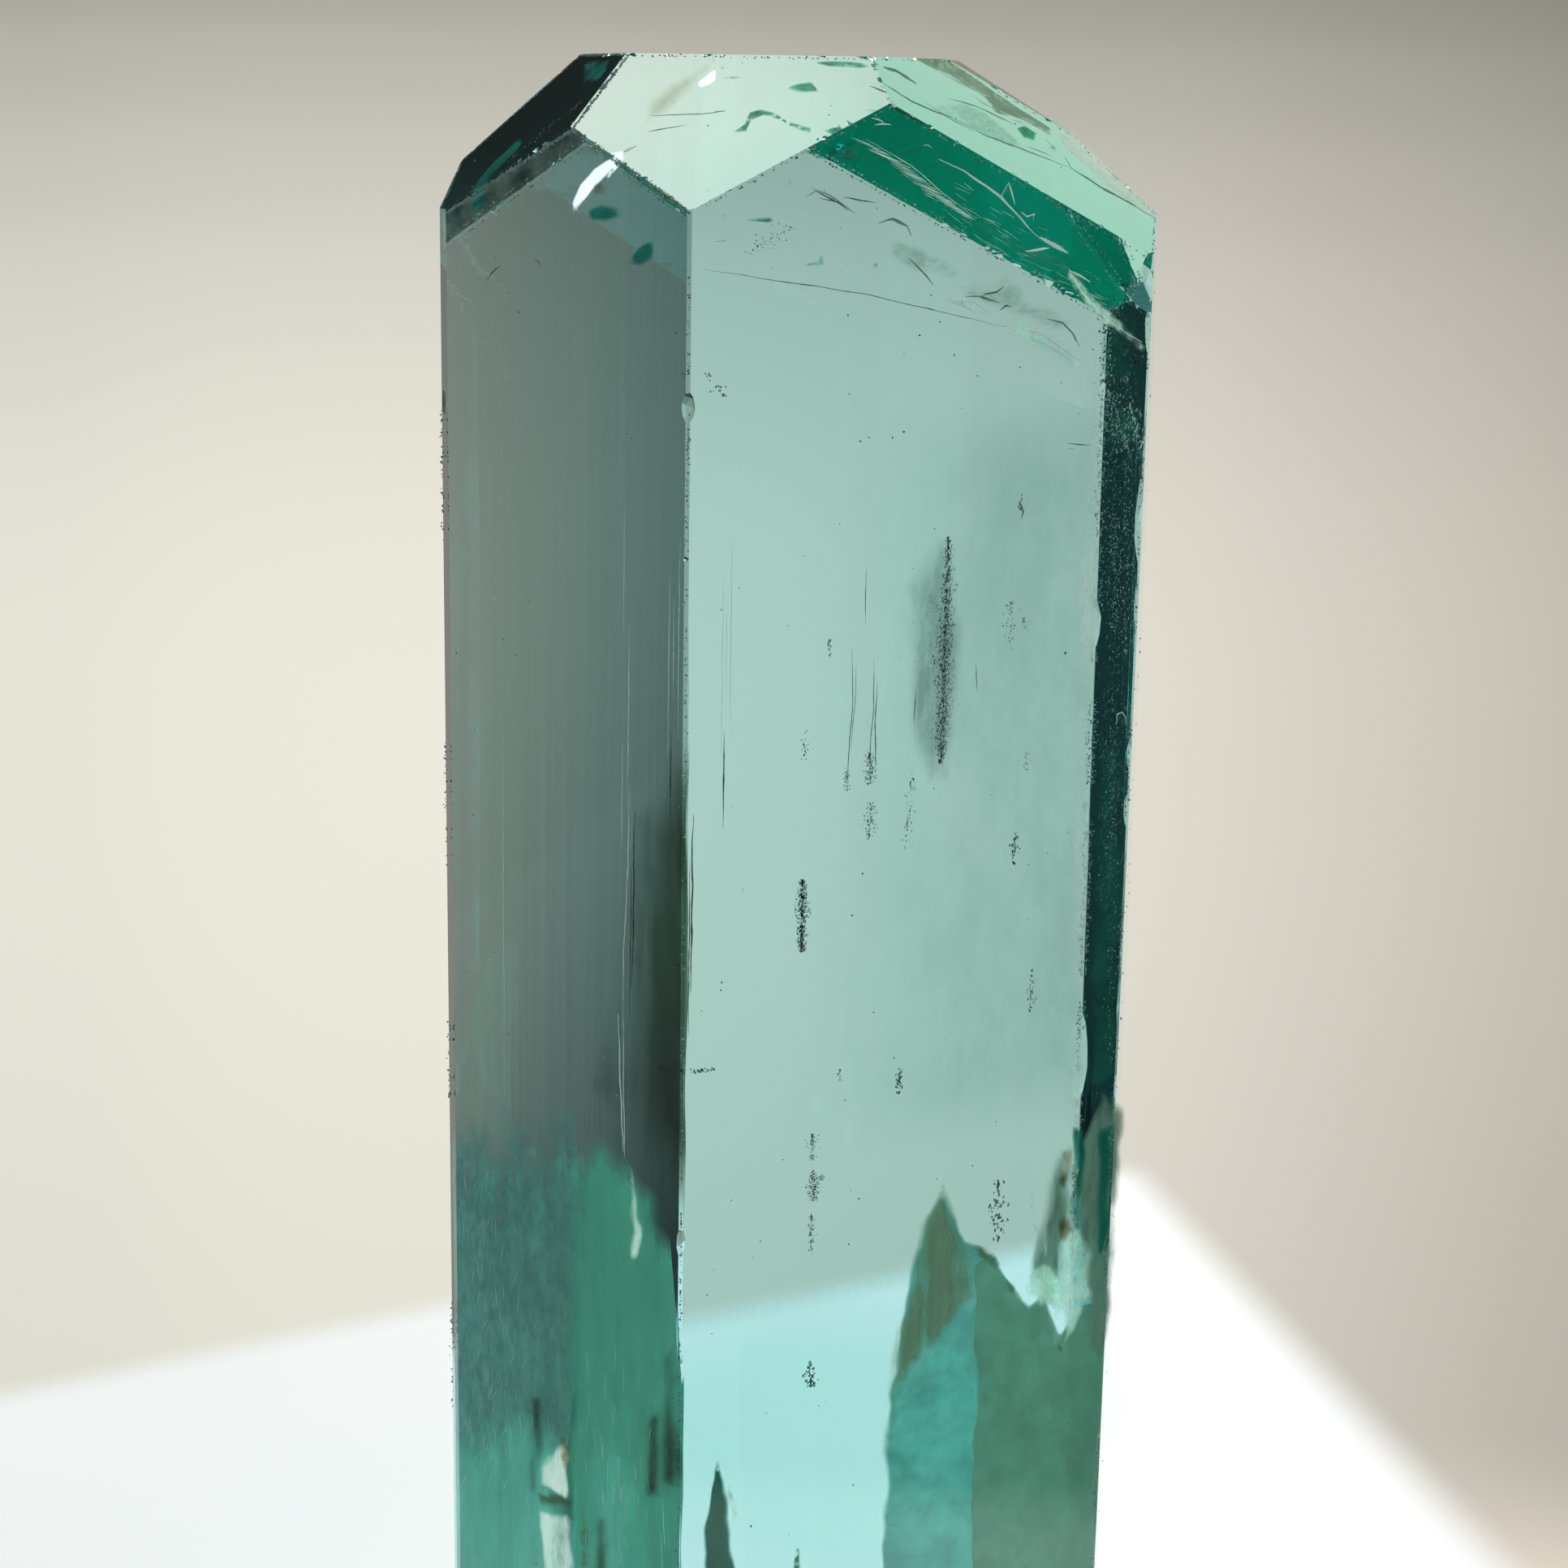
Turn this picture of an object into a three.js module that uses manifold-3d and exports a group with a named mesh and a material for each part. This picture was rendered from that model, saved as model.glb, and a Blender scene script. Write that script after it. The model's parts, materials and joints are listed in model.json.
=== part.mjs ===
// A single emerald: one upright six-sided beryl crystal with a bevelled tip, cut off flat at its root.
// Millimetres, +Z up. The origin is the middle of the footprint, on the surface that the crystal stands on.
import * as THREE from 'three';
import { mergeVertices } from 'three/addons/utils/BufferGeometryUtils.js';
import Module from 'manifold-3d';

const wasm = await Module();
wasm.setup();

// ---- Driving dimensions -------------------------------------------------------------------------------
const crystalLength = 34;      // root cut to flat tip
const prismTurn = 22.33;       // azimuth of the broad front face, from -Y towards +X, degrees
const faceStep = 60;           // between neighbouring prism faces
const edgeStep = 30;           // from a prism face to the edge beside it
const steepTilt = 44.93;       // second-order pyramid faces, from the flat tip
const gentleTilt = 29.95;      // first-order pyramid face, from the flat tip
const blockMargin = 4;         // how far the raw block stands outside the crystal
const cutterSize = 90;         // side of the box that removes everything beyond one plane

// Distance of each prism face from the axis, in order round the crystal from the broad front face.
const prismFaces = [
  { name: 'frontBroad', distance: 5.08 },
  { name: 'right', distance: 5.91 },
  { name: 'backRight', distance: 7.42 },
  { name: 'backBroad', distance: 4.42 },
  { name: 'left', distance: 6.09 },
  { name: 'frontLeft', distance: 6.38 },
];

// Distance of each steep tip face from the middle of the tip; each one stands over a prism edge.
const tipFaces = [
  { name: 'overRightFrontEdge', distance: 2.235 },
  { name: 'overRightBackEdge', distance: 1.46 },
  { name: 'overBackEdge', distance: 1.585 },
  { name: 'overLeftBackEdge', distance: 1.69 },
  { name: 'overLeftFrontEdge', distance: 3.18 },
  { name: 'overFrontEdge', distance: 2.955 },
];
const gentleFaceDistance = 1.165;   // the one low-angle tip face, over the right prism face

const edgeWear = 0.045;        // depth of the worn flat along each upright edge
const leftBevel = 0.11;        // wider bevel along the left front edge
const chipDetail = 2;          // subdivisions of the ball that strikes a chip

// Conchoidal chips: upright edge (0 = between frontBroad and right), height, depth, half length along the
// edge and radius across it.
const edgeChips = [
  { edge: 0, height: 30.6, depth: 0.16, halfLength: 0.5, radius: 0.9 },
  { edge: 0, height: 29.7, depth: 0.12, halfLength: 0.6, radius: 0.8 },
  { edge: 0, height: 26.6, depth: 0.17, halfLength: 0.95, radius: 0.9 },
  { edge: 0, height: 25.0, depth: 0.1, halfLength: 0.6, radius: 0.7 },
  { edge: 0, height: 22.3, depth: 0.09, halfLength: 0.35, radius: 0.5 },
  { edge: 0, height: 21.3, depth: 0.13, halfLength: 0.45, radius: 0.6 },
  { edge: 0, height: 17.6, depth: 0.1, halfLength: 0.8, radius: 0.7 },
  { edge: 0, height: 13.1, depth: 0.11, halfLength: 0.5, radius: 0.6 },
  { edge: 0, height: 8.7, depth: 0.15, halfLength: 0.9, radius: 0.8 },
  { edge: 1, height: 27.2, depth: 0.12, halfLength: 0.7, radius: 0.8 },
  { edge: 1, height: 20.4, depth: 0.15, halfLength: 0.9, radius: 0.9 },
  { edge: 1, height: 12.0, depth: 0.2, halfLength: 1.1, radius: 1.0 },
  { edge: 2, height: 23.5, depth: 0.1, halfLength: 0.6, radius: 0.7 },
  { edge: 2, height: 14.8, depth: 0.16, halfLength: 1.0, radius: 0.9 },
  { edge: 3, height: 25.8, depth: 0.13, halfLength: 0.8, radius: 0.8 },
  { edge: 3, height: 17.2, depth: 0.18, halfLength: 0.7, radius: 0.9 },
  { edge: 4, height: 28.2, depth: 0.15, halfLength: 0.42, radius: 0.5 },
  { edge: 4, height: 17.4, depth: 0.09, halfLength: 0.4, radius: 0.5 },
  { edge: 4, height: 10.2, depth: 0.12, halfLength: 0.7, radius: 0.6 },
  { edge: 5, height: 28.5, depth: 0.08, halfLength: 0.3, radius: 0.45 },
  { edge: 5, height: 14.3, depth: 0.07, halfLength: 0.35, radius: 0.45 },
  { edge: 5, height: 11.9, depth: 0.09, halfLength: 0.4, radius: 0.5 },
  { edge: 5, height: 4.3, depth: 0.16, halfLength: 0.8, radius: 0.8 },
];

// Chips struck off the rim of the root cut, at the foot of each upright edge.
const rootChips = [
  { edge: 0, depth: 0.55, halfLength: 1.3, radius: 1.5 },
  { edge: 1, depth: 0.4, halfLength: 1.6, radius: 1.4 },
  { edge: 2, depth: 0.6, halfLength: 1.2, radius: 1.6 },
  { edge: 3, depth: 0.45, halfLength: 1.8, radius: 1.5 },
  { edge: 4, depth: 0.5, halfLength: 1.1, radius: 1.3 },
  { edge: 5, depth: 0.35, halfLength: 1.5, radius: 1.2 },
];

// Growth steps: thin plates missing from the hidden faces, each a ledge across the face. `side` is the way
// along the face, from its middle, in which the plate is missing.
const growthSteps = [
  { face: 1, depth: 0.1, from: 0.6, side: 1, bottom: -1, top: 13.5 },
  { face: 2, depth: 0.12, from: -0.5, side: -1, bottom: 5.5, top: 19 },
  { face: 3, depth: 0.1, from: 2.9, side: 1, bottom: -1, top: 9.5 },
  { face: 4, depth: 0.14, from: -0.4, side: -1, bottom: 8, top: 24.5 },
];
const stepWidth = 12;          // plates run on past the edge of the face

// ---- Solids -------------------------------------------------------------------------------------------
const degrees = Math.PI / 180;

// Direction that points away from the crystal: azimuth from -Y towards +X, tilt from straight up.
function outward(azimuth, tilt = 90) {
  const across = Math.sin(tilt * degrees);
  return new THREE.Vector3(
    Math.sin(azimuth * degrees) * across,
    -Math.cos(azimuth * degrees) * across,
    Math.cos(tilt * degrees),
  );
}

function solidOf(geometry) {
  const bare = geometry.clone();
  bare.deleteAttribute('normal');
  bare.deleteAttribute('uv');
  const merged = mergeVertices(bare, 1e-5);
  return new wasm.Manifold(new wasm.Mesh({
    numProp: 3,
    vertProperties: new Float32Array(merged.attributes.position.array),
    triVerts: new Uint32Array(merged.index.array),
  }));
}

// Box that lies wholly beyond the plane with this normal, at this distance from a point.
function beyondPlane(normal, distance, point) {
  const box = new THREE.BoxGeometry(cutterSize, cutterSize, cutterSize);
  const turn = new THREE.Quaternion().setFromUnitVectors(new THREE.Vector3(0, 0, 1), normal);
  box.applyQuaternion(turn);
  const middle = point.clone().addScaledVector(normal, distance + cutterSize / 2);
  box.translate(middle.x, middle.y, middle.z);
  return solidOf(box);
}

const axisFoot = new THREE.Vector3(0, 0, 0);
const tip = new THREE.Vector3(0, 0, crystalLength);
const faceAzimuth = (i) => prismTurn + i * faceStep;
const edgeAzimuth = (i) => faceAzimuth(i) + edgeStep;

// Where two neighbouring prism faces meet, seen from above.
function edgePoint(i) {
  const a = outward(faceAzimuth(i));
  const b = outward(faceAzimuth(i + 1));
  const da = prismFaces[i % 6].distance;
  const db = prismFaces[(i + 1) % 6].distance;
  const det = a.x * b.y - a.y * b.x;
  return new THREE.Vector3((da * b.y - db * a.y) / det, (a.x * db - b.x * da) / det, 0);
}

function rawCrystal() {
  const side = 2 * (Math.max(...prismFaces.map((f) => f.distance)) + blockMargin);
  const block = new THREE.BoxGeometry(side, side, crystalLength);
  block.translate(0, 0, crystalLength / 2);
  let solid = solidOf(block);
  prismFaces.forEach((face, i) => {
    solid = solid.subtract(beyondPlane(outward(faceAzimuth(i)), face.distance, axisFoot));
  });
  tipFaces.forEach((face, i) => {
    solid = solid.subtract(beyondPlane(outward(edgeAzimuth(i), steepTilt), face.distance, tip));
  });
  return solid.subtract(beyondPlane(outward(faceAzimuth(1), gentleTilt), gentleFaceDistance, tip));
}

function wearEdges(solid) {
  let worn = solid;
  prismFaces.forEach((face, i) => {
    const normal = outward(edgeAzimuth(i));
    const depth = i === 4 ? leftBevel : edgeWear;
    worn = worn.subtract(beyondPlane(normal, edgePoint(i).dot(normal) - depth, axisFoot));
  });
  return worn;
}

// Ball whose near side bites `depth` deep into an upright edge.
function chipBall({ edge, depth, halfLength, radius }, height) {
  const normal = outward(edgeAzimuth(edge));
  const reach = Math.sqrt(Math.max(radius * radius - (radius - depth) ** 2, 0.01));
  const ball = new THREE.IcosahedronGeometry(radius, chipDetail);
  ball.rotateX(edge + height);
  ball.scale(1, 1, halfLength / reach);
  const middle = edgePoint(edge).addScaledVector(normal, radius - depth);
  ball.translate(middle.x, middle.y, height);
  return solidOf(ball);
}

function growthPlate({ face, depth, from, side, bottom, top }) {
  const thick = depth * 2;
  const plate = new THREE.BoxGeometry(stepWidth, thick, top - bottom);
  plate.translate(side * (stepWidth / 2) + from, 0, (top + bottom) / 2);
  plate.rotateZ(faceAzimuth(face) * degrees);
  const normal = outward(faceAzimuth(face)).multiplyScalar(prismFaces[face].distance);
  plate.translate(normal.x, normal.y, 0);
  return solidOf(plate);
}

function emeraldCrystal() {
  let solid = wearEdges(rawCrystal());
  growthSteps.forEach((step) => { solid = solid.subtract(growthPlate(step)); });
  edgeChips.forEach((chip) => { solid = solid.subtract(chipBall(chip, chip.height)); });
  rootChips.forEach((chip) => { solid = solid.subtract(chipBall(chip, 0)); });
  return solid;
}

function geometryOf(solid) {
  const mesh = solid.getMesh();
  const geometry = new THREE.BufferGeometry();
  geometry.setAttribute('position', new THREE.BufferAttribute(mesh.vertProperties, 3));
  geometry.setIndex(new THREE.BufferAttribute(mesh.triVerts, 1));
  geometry.computeVertexNormals();
  return geometry;
}

// ---- Scene graph --------------------------------------------------------------------------------------
const emeraldGlass = new THREE.MeshStandardMaterial({ color: 0x8fc9b4, roughness: 0.06, metalness: 0 });
const crystal = new THREE.Mesh(geometryOf(emeraldCrystal()), emeraldGlass);
crystal.name = 'emerald_crystal';

const group = new THREE.Group();
group.add(crystal);
export default group;
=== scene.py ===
import json
import math
import random

import bmesh
import bpy
from mathutils import Matrix, Vector, geometry, noise

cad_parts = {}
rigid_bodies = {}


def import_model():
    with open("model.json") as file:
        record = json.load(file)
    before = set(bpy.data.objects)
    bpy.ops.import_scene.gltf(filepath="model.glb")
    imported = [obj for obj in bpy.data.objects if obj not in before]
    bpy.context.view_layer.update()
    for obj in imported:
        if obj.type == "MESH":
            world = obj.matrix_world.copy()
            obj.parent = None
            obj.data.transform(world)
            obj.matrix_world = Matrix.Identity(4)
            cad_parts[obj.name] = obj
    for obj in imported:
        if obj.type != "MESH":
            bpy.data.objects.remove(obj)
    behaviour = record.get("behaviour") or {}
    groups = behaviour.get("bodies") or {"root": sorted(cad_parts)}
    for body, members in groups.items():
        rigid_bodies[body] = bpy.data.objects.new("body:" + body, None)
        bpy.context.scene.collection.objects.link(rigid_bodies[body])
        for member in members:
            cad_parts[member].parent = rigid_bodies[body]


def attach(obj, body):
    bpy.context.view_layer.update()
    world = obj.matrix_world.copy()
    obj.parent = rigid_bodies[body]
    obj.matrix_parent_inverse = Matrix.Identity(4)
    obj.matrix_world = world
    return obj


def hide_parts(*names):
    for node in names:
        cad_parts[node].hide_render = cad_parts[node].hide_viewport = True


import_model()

noiseSeed = 1795484385
noise.seed_set(noiseSeed)  # left alone, the vector noise starts from the clock

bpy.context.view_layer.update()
mm = 0.001
inMm = 1000  # as a Mapping scale it turns metres into millimetres
scene = bpy.context.scene

# one upright crystal, in millimetres and degrees: prism faces in order from the broad front one, tip faces
# over the prism edges
crystal = {
    "length": 34.0, "turn": 22.33, "steepTilt": 44.93, "gentleTilt": 29.95,
    "prism": [5.08, 5.91, 7.42, 4.42, 6.09, 6.38],
    "tip": [2.235, 1.46, 1.585, 1.69, 3.18, 2.955],
    "gentle": 1.165, "edgeWear": 0.022, "leftBevel": 0.11, "spare": 8,
}
broad, right, backRight, backBroad, left, frontLeft = range(6)


def outward(azimuth, tilt=90.0):
    # azimuth from -Y towards +X, tilt from straight up
    a, t = math.radians(azimuth), math.radians(tilt)
    return Vector((math.sin(a) * math.sin(t), -math.cos(a) * math.sin(t), math.cos(t)))


def faceNormal(i):
    return outward(crystal["turn"] + 60 * i)


def edgePoint(i):
    # where prism faces i and i + 1 meet, seen from above
    a, b = faceNormal(i), faceNormal(i + 1)
    da, db = crystal["prism"][i % 6], crystal["prism"][(i + 1) % 6]
    det = a.x * b.y - a.y * b.x
    return Vector(((da * b.y - db * a.y) / det, (a.x * db - b.x * da) / det, 0))


def tipPlanes():
    c = crystal
    tip = Vector((0, 0, c["length"]))
    planes = []
    for i, d in enumerate(c["tip"]):
        n = outward(c["turn"] + 30 + 60 * i, c["steepTilt"])
        planes.append((n, tip + n * d))
    n = outward(c["turn"] + 60, c["gentleTilt"])
    planes.append((n, tip + n * c["gentle"]))
    planes.append((Vector((0, 0, 1)), tip))
    return planes


def cutPlanes():
    c = crystal
    planes = [(faceNormal(i), faceNormal(i) * d) for i, d in enumerate(c["prism"])] + tipPlanes()[:-1]
    for i in range(6):
        n = outward(c["turn"] + 30 + 60 * i)
        depth = c["leftBevel"] if i == left else c["edgeWear"]
        planes.append((n, edgePoint(i) - n * depth))
    return planes


def newObject(name, bm, material=None):
    # a finished piece: millimetres become metres, and the place is in the mesh
    bmesh.ops.scale(bm, vec=(mm, mm, mm), verts=bm.verts)
    mesh = bpy.data.meshes.new(name)
    bm.to_mesh(mesh)
    bm.free()
    piece = bpy.data.objects.new(name, mesh)
    scene.collection.objects.link(piece)
    if material:
        piece.data.materials.append(material)
    return piece


def rideAll(*pieces):
    for piece in pieces:
        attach(piece, "root")


def rawCrystal():
    bm = bmesh.new()
    bmesh.ops.create_cube(bm, size=1.0)
    side = 2 * max(crystal["prism"]) + crystal["spare"]
    bmesh.ops.scale(bm, vec=(side, side, crystal["length"]), verts=bm.verts)
    bmesh.ops.translate(bm, vec=(0, 0, crystal["length"] / 2), verts=bm.verts)
    for normal, point in cutPlanes():
        cut = bmesh.ops.bisect_plane(bm, geom=bm.verts[:] + bm.edges[:] + bm.faces[:], plane_co=point,
                                     plane_no=normal, clear_outer=True)
        rim = [e for e in cut["geom_cut"] if isinstance(e, bmesh.types.BMEdge)]
        bmesh.ops.contextual_create(bm, geom=rim)
    bmesh.ops.recalc_face_normals(bm, faces=bm.faces)
    return bm


chips = {
    # upright edge (0 = right of the broad front face), height, depth, half length along it, radius across
    "edge": [
        (0, 30.6, 0.12, 0.5, 0.9), (0, 29.7, 0.07, 0.6, 0.8), (0, 26.4, 0.075, 0.9, 0.9),
        (0, 25.0, 0.05, 0.6, 0.7),
        (0, 22.3, 0.06, 0.35, 0.5), (0, 21.3, 0.07, 0.4, 0.6), (0, 17.6, 0.05, 0.8, 0.7),
        (0, 13.1, 0.06, 0.5, 0.6),
        (0, 8.7, 0.09, 0.9, 0.8), (1, 27.2, 0.12, 0.7, 0.8), (1, 20.4, 0.15, 0.9, 0.9),
        (1, 12.0, 0.2, 1.1, 1.0),
        (2, 23.5, 0.1, 0.6, 0.7), (2, 14.8, 0.16, 1.0, 0.9), (3, 25.8, 0.13, 0.8, 0.8),
        (3, 17.2, 0.18, 0.7, 0.9),
        (4, 28.2, 0.15, 0.42, 0.5), (4, 17.4, 0.09, 0.4, 0.5), (4, 10.2, 0.12, 0.7, 0.6),
        (5, 28.5, 0.08, 0.3, 0.45),
        (5, 14.3, 0.05, 0.3, 0.45), (5, 11.9, 0.055, 0.35, 0.5), (5, 4.3, 0.12, 0.7, 0.8),
    ],
    # chips at the foot of each upright edge: depth, half length, radius
    "root": [(0.55, 1.3, 1.5), (0.4, 1.6, 1.4), (0.6, 1.2, 1.6), (0.45, 1.8, 1.5), (0.5, 1.1, 1.3),
             (0.35, 1.5, 1.2)],
    # tiny chips along each upright edge: how many, deepest
    "fine": [(90, 0.04), (46, 0.05), (60, 0.06), (40, 0.05), (52, 0.045), (90, 0.032)],
    "fineFrom": 0.3, "fineLength": (0.08, 0.42), "fineRadius": (0.16, 0.4),
    # chips along the edges of the tip, struck away from a point so far under the top
    "tipPerMm": 3, "tipRadius": (0.12, 0.3), "tipDepth": (0.015, 0.05), "tipCentre": 6,
    "weld": 0.0005, "sliver": 1e-16, "seed": 11,
}


def chipBall(bm, place, radius, stretch, turn, grain=2, rough=0.05):
    ball = bmesh.ops.create_icosphere(bm, subdivisions=grain, radius=1.0)["verts"]
    spin = Matrix.Rotation(turn, 3, "Z") @ Matrix.Rotation(turn * 1.7, 3, "X")
    for v in ball:
        v.co = spin @ v.co
        v.co *= 1 + rough * noise.noise(v.co * 2.2 + Vector((turn, 0, turn)))
        v.co = Vector((v.co.x * radius, v.co.y * radius, v.co.z * radius * stretch)) + place


def edgeTop(i):
    # height at which an upright edge meets the tip
    n, p = tipPlanes()[i]
    e = edgePoint(i)
    return p.z - (n.x * (e.x - p.x) + n.y * (e.y - p.y)) / n.z


def chipCutters():
    rng = random.Random(chips["seed"])
    bm = bmesh.new()

    def strike(edge, height, depth, halfLength, radius, grain=3):
        n = outward(crystal["turn"] + 30 + 60 * edge)
        reach = math.sqrt(max(radius ** 2 - (radius - depth) ** 2, 0.01))
        place = edgePoint(edge) + n * (radius - depth) + Vector((0, 0, height))
        chipBall(bm, place, radius, halfLength / reach, edge + height, grain)

    for edge, height, depth, halfLength, radius in chips["edge"]:
        strike(edge, height, depth, halfLength, radius)
    for edge, (depth, halfLength, radius) in enumerate(chips["root"]):
        strike(edge, 0.0, depth, halfLength, radius)
    for edge, (count, deepest) in enumerate(chips["fine"]):
        top = edgeTop(edge)
        for _ in range(count):
            depth = crystal["edgeWear"] + deepest * rng.random() ** 2
            height = rng.uniform(chips["fineFrom"], top)
            strike(edge, height, depth, rng.uniform(*chips["fineLength"]), rng.uniform(*chips["fineRadius"]),
                   1)
    for a, b in tipEdges():
        for _ in range(int((b - a).length * chips["tipPerMm"])):
            along = a.lerp(b, rng.random())
            out = (along - Vector((0, 0, crystal["length"] - chips["tipCentre"]))).normalized()
            radius = rng.uniform(*chips["tipRadius"])
            place = along + out * (radius - rng.uniform(*chips["tipDepth"]))
            chipBall(bm, place, radius, 1.0, rng.uniform(0, 6), 1)
    return newObject("chipCutters", bm)


def tipEdges():
    bm = rawCrystal()
    low = min(edgeTop(i) for i in range(6)) - 0.1
    found = [(e.verts[0].co.copy(), e.verts[1].co.copy()) for e in bm.edges
             if min(v.co.z for v in e.verts) > low and e.calc_length() > 0.6]
    bm.free()
    return found


def crystalBody(material):
    body = newObject("emeraldBody", rawCrystal(), material)
    cutters = chipCutters()
    cut = body.modifiers.new("chips", "BOOLEAN")
    cut.operation = "DIFFERENCE"
    cut.object = cutters
    cut.solver = "EXACT"
    cut.use_self = True
    whole = bpy.data.meshes.new_from_object(body.evaluated_get(bpy.context.evaluated_depsgraph_get()))
    body.modifiers.remove(cut)
    body.data = whole
    bpy.data.objects.remove(cutters)
    bm = bmesh.new()
    bm.from_mesh(whole)
    bmesh.ops.remove_doubles(bm, verts=bm.verts, dist=chips["weld"] * mm)
    slivers = [f for f in bm.faces if f.calc_area() < chips["sliver"]]
    if slivers:
        bmesh.ops.delete(bm, geom=slivers, context="FACES")
    bm.to_mesh(whole)
    holes = sum(1 for e in bm.edges if len(e.link_faces) != 2)
    bm.free()
    print("crystal body:", len(whole.polygons), "faces,", holes, "open edges")
    return body


def adder(tree):
    # makes a node, sets its properties, then its inputs: a socket is linked and anything else is a constant
    def add(kind, inputs=None, **settings):
        node = tree.nodes.new(kind)
        for key, value in settings.items():
            setattr(node, key, value)
        for key, value in (inputs or {}).items():
            if isinstance(value, bpy.types.NodeSocket):
                tree.links.new(value, node.inputs[key])
            else:
                node.inputs[key].default_value = value
        return node
    return add


def newMaterial(name):
    mat = bpy.data.materials.new(name)
    mat.use_nodes = True
    tree = mat.node_tree
    tree.nodes.clear()
    add = adder(tree)
    place = add("ShaderNodeTexCoord").outputs["Object"]
    whole = add("ShaderNodeMapping", {"Vector": place, "Scale": (inMm, inMm, inMm)}).outputs[0]
    return mat, add, place, whole


def calc(add, operation, a, b, clamp=False):
    return add("ShaderNodeMath", {0: a, 1: b}, operation=operation, use_clamp=clamp).outputs[0]


def ramp(add, value, low, high, start=0.0, end=1.0):
    return add("ShaderNodeMapRange", {"Value": value, "From Min": low, "From Max": high, "To Min": start,
                                      "To Max": end}, interpolation_type="SMOOTHSTEP").outputs[0]


def noiseOf(add, vector, scale, detail=3.0, rough=0.55):
    return add("ShaderNodeTexNoise", {"Vector": vector, "Scale": scale, "Detail": detail,
                                      "Roughness": rough}).outputs[0]


def mixColour(add, factor, a, b):
    return add("ShaderNodeMix", {0: factor, 6: a, 7: b}, data_type="RGBA").outputs[2]


emeraldLook = {
    "ior": 1.585,
    # light taken out per metre is density x (1 - colour)
    "absorbed": (0.0, 0.735, 0.755, 1), "density": 66.0,
    # the matt root is green and gives off a faint painted glow of the same green
    "root": (0.02, 0.95, 0.5, 1), "rootPaintedGlow": 0.07, "rootRough": 0.75, "rootShare": 0.85, "cutHeight": 0.04,
    # fine upright growth lines, as a bump
    "lineStretch": 22, "lineScale": 2.4, "lineDetail": 2.0, "lineRough": 0.6, "lineHeight": 0.003,
    "lineShare": 0.5,
}


def emeraldMaterial():
    look = emeraldLook
    mat, add, place, whole = newMaterial("clearEmerald")
    # matt cut at the root, which also gives off a faint painted glow of its green
    height = add("ShaderNodeSeparateXYZ", {0: whole}).outputs["Z"]
    cut = ramp(add, height, look["cutHeight"], 0.0)
    tall = add("ShaderNodeMapping", {"Vector": place, "Scale": (inMm, inMm, look["lineStretch"])}).outputs[0]
    lines = noiseOf(add, tall, look["lineScale"], look["lineDetail"], look["lineRough"])
    bump = add("ShaderNodeBump", {"Strength": look["lineShare"], "Distance": look["lineHeight"] * mm,
                                  "Height": lines}).outputs[0]
    clear = add("ShaderNodeBsdfPrincipled", {"Base Color": (1, 1, 1, 1), "Roughness": 0.0, "IOR": look["ior"],
                                             "Transmission Weight": 1.0, "Normal": bump}).outputs[0]
    matt = add("ShaderNodeBsdfPrincipled", {
        "Base Color": look["root"], "Roughness": look["rootRough"], "Emission Color": look["root"],
        "Emission Strength": look["rootPaintedGlow"]}).outputs[0]
    surface = add("ShaderNodeMixShader", {0: calc(add, "MULTIPLY", cut, look["rootShare"]), 1: clear,
                                          2: matt}).outputs[0]
    absorb = add("ShaderNodeVolumeAbsorption", {"Color": look["absorbed"],
                                                "Density": look["density"]}).outputs[0]
    add("ShaderNodeOutputMaterial", {"Surface": surface, "Volume": absorb})
    return mat


# what all films share: how much finer the second noise is, and the stretches of noise that each step uses
filmPattern = {
    "finer": 3.3, "broadRough": 0.6, "fineRough": 0.68, "uneven": (0.3, 0.7, 0.45, 1.9),
    "tinted": (0.38, 0.62),
    "clouded": (0.25, 0.75), "fineShare": 0.6, "broadShare": 0.7, "thick": (0.42, 0.88), "roughness": 0.7,
    "specular": 0.2,
}


def filmMaterial(name, film):
    # a thin film inside the crystal: tinted where it is clear, clouded in patches, fading out at its rim;
    # where it is clouded it gives off a painted glow of its pale cloud colour
    mat, add, place, whole = newMaterial(name)
    look = filmPattern
    stretch = tuple(inMm * s for s in film.get("stretch", (1, 1, 1)))
    drawn = add("ShaderNodeMapping", {"Vector": place, "Scale": stretch}).outputs[0]
    detail = film.get("detail", 3.0)
    broadNoise = noiseOf(add, drawn, film["scale"], detail, look["broadRough"])
    fineNoise = noiseOf(add, drawn, film["scale"] * look["finer"], detail, look["fineRough"])
    inset = add("ShaderNodeAttribute", attribute_name="inset").outputs["Fac"]
    rim = ramp(add, calc(add, "MULTIPLY", inset, ramp(add, broadNoise, *look["uneven"])), 0.0, film["soft"])
    tint = mixColour(add, ramp(add, broadNoise, *look["tinted"]), *((*c, 1) for c in film["tint"]))
    through = add("ShaderNodeBsdfTransparent", {"Color": mixColour(add, rim, (1, 1, 1, 1), tint)}).outputs[0]
    pale, dark = ((*c, 1) for c in film["cloud"])
    cloud = add("ShaderNodeBsdfPrincipled", {
        "Base Color": mixColour(add, ramp(add, fineNoise, *look["clouded"]), pale, dark),
        "Roughness": look["roughness"], "Specular IOR Level": look["specular"], "Emission Color": pale,
        "Emission Strength": film.get("paintedGlow", 0.0)}).outputs[0]
    thick = calc(add, "ADD", calc(add, "MULTIPLY", fineNoise, look["fineShare"]),
                 calc(add, "MULTIPLY", broadNoise, look["broadShare"]))
    share = calc(add, "MULTIPLY", ramp(add, thick, *look["thick"], *film["share"]), rim)
    surface = add("ShaderNodeMixShader", {0: share, 1: through, 2: cloud}).outputs[0]
    add("ShaderNodeOutputMaterial", {"Surface": surface})
    return mat


grainPattern = {"scale": 9.0, "from": 0.62, "to": 0.7, "shift": 0.3, "roughness": 0.35}


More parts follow.
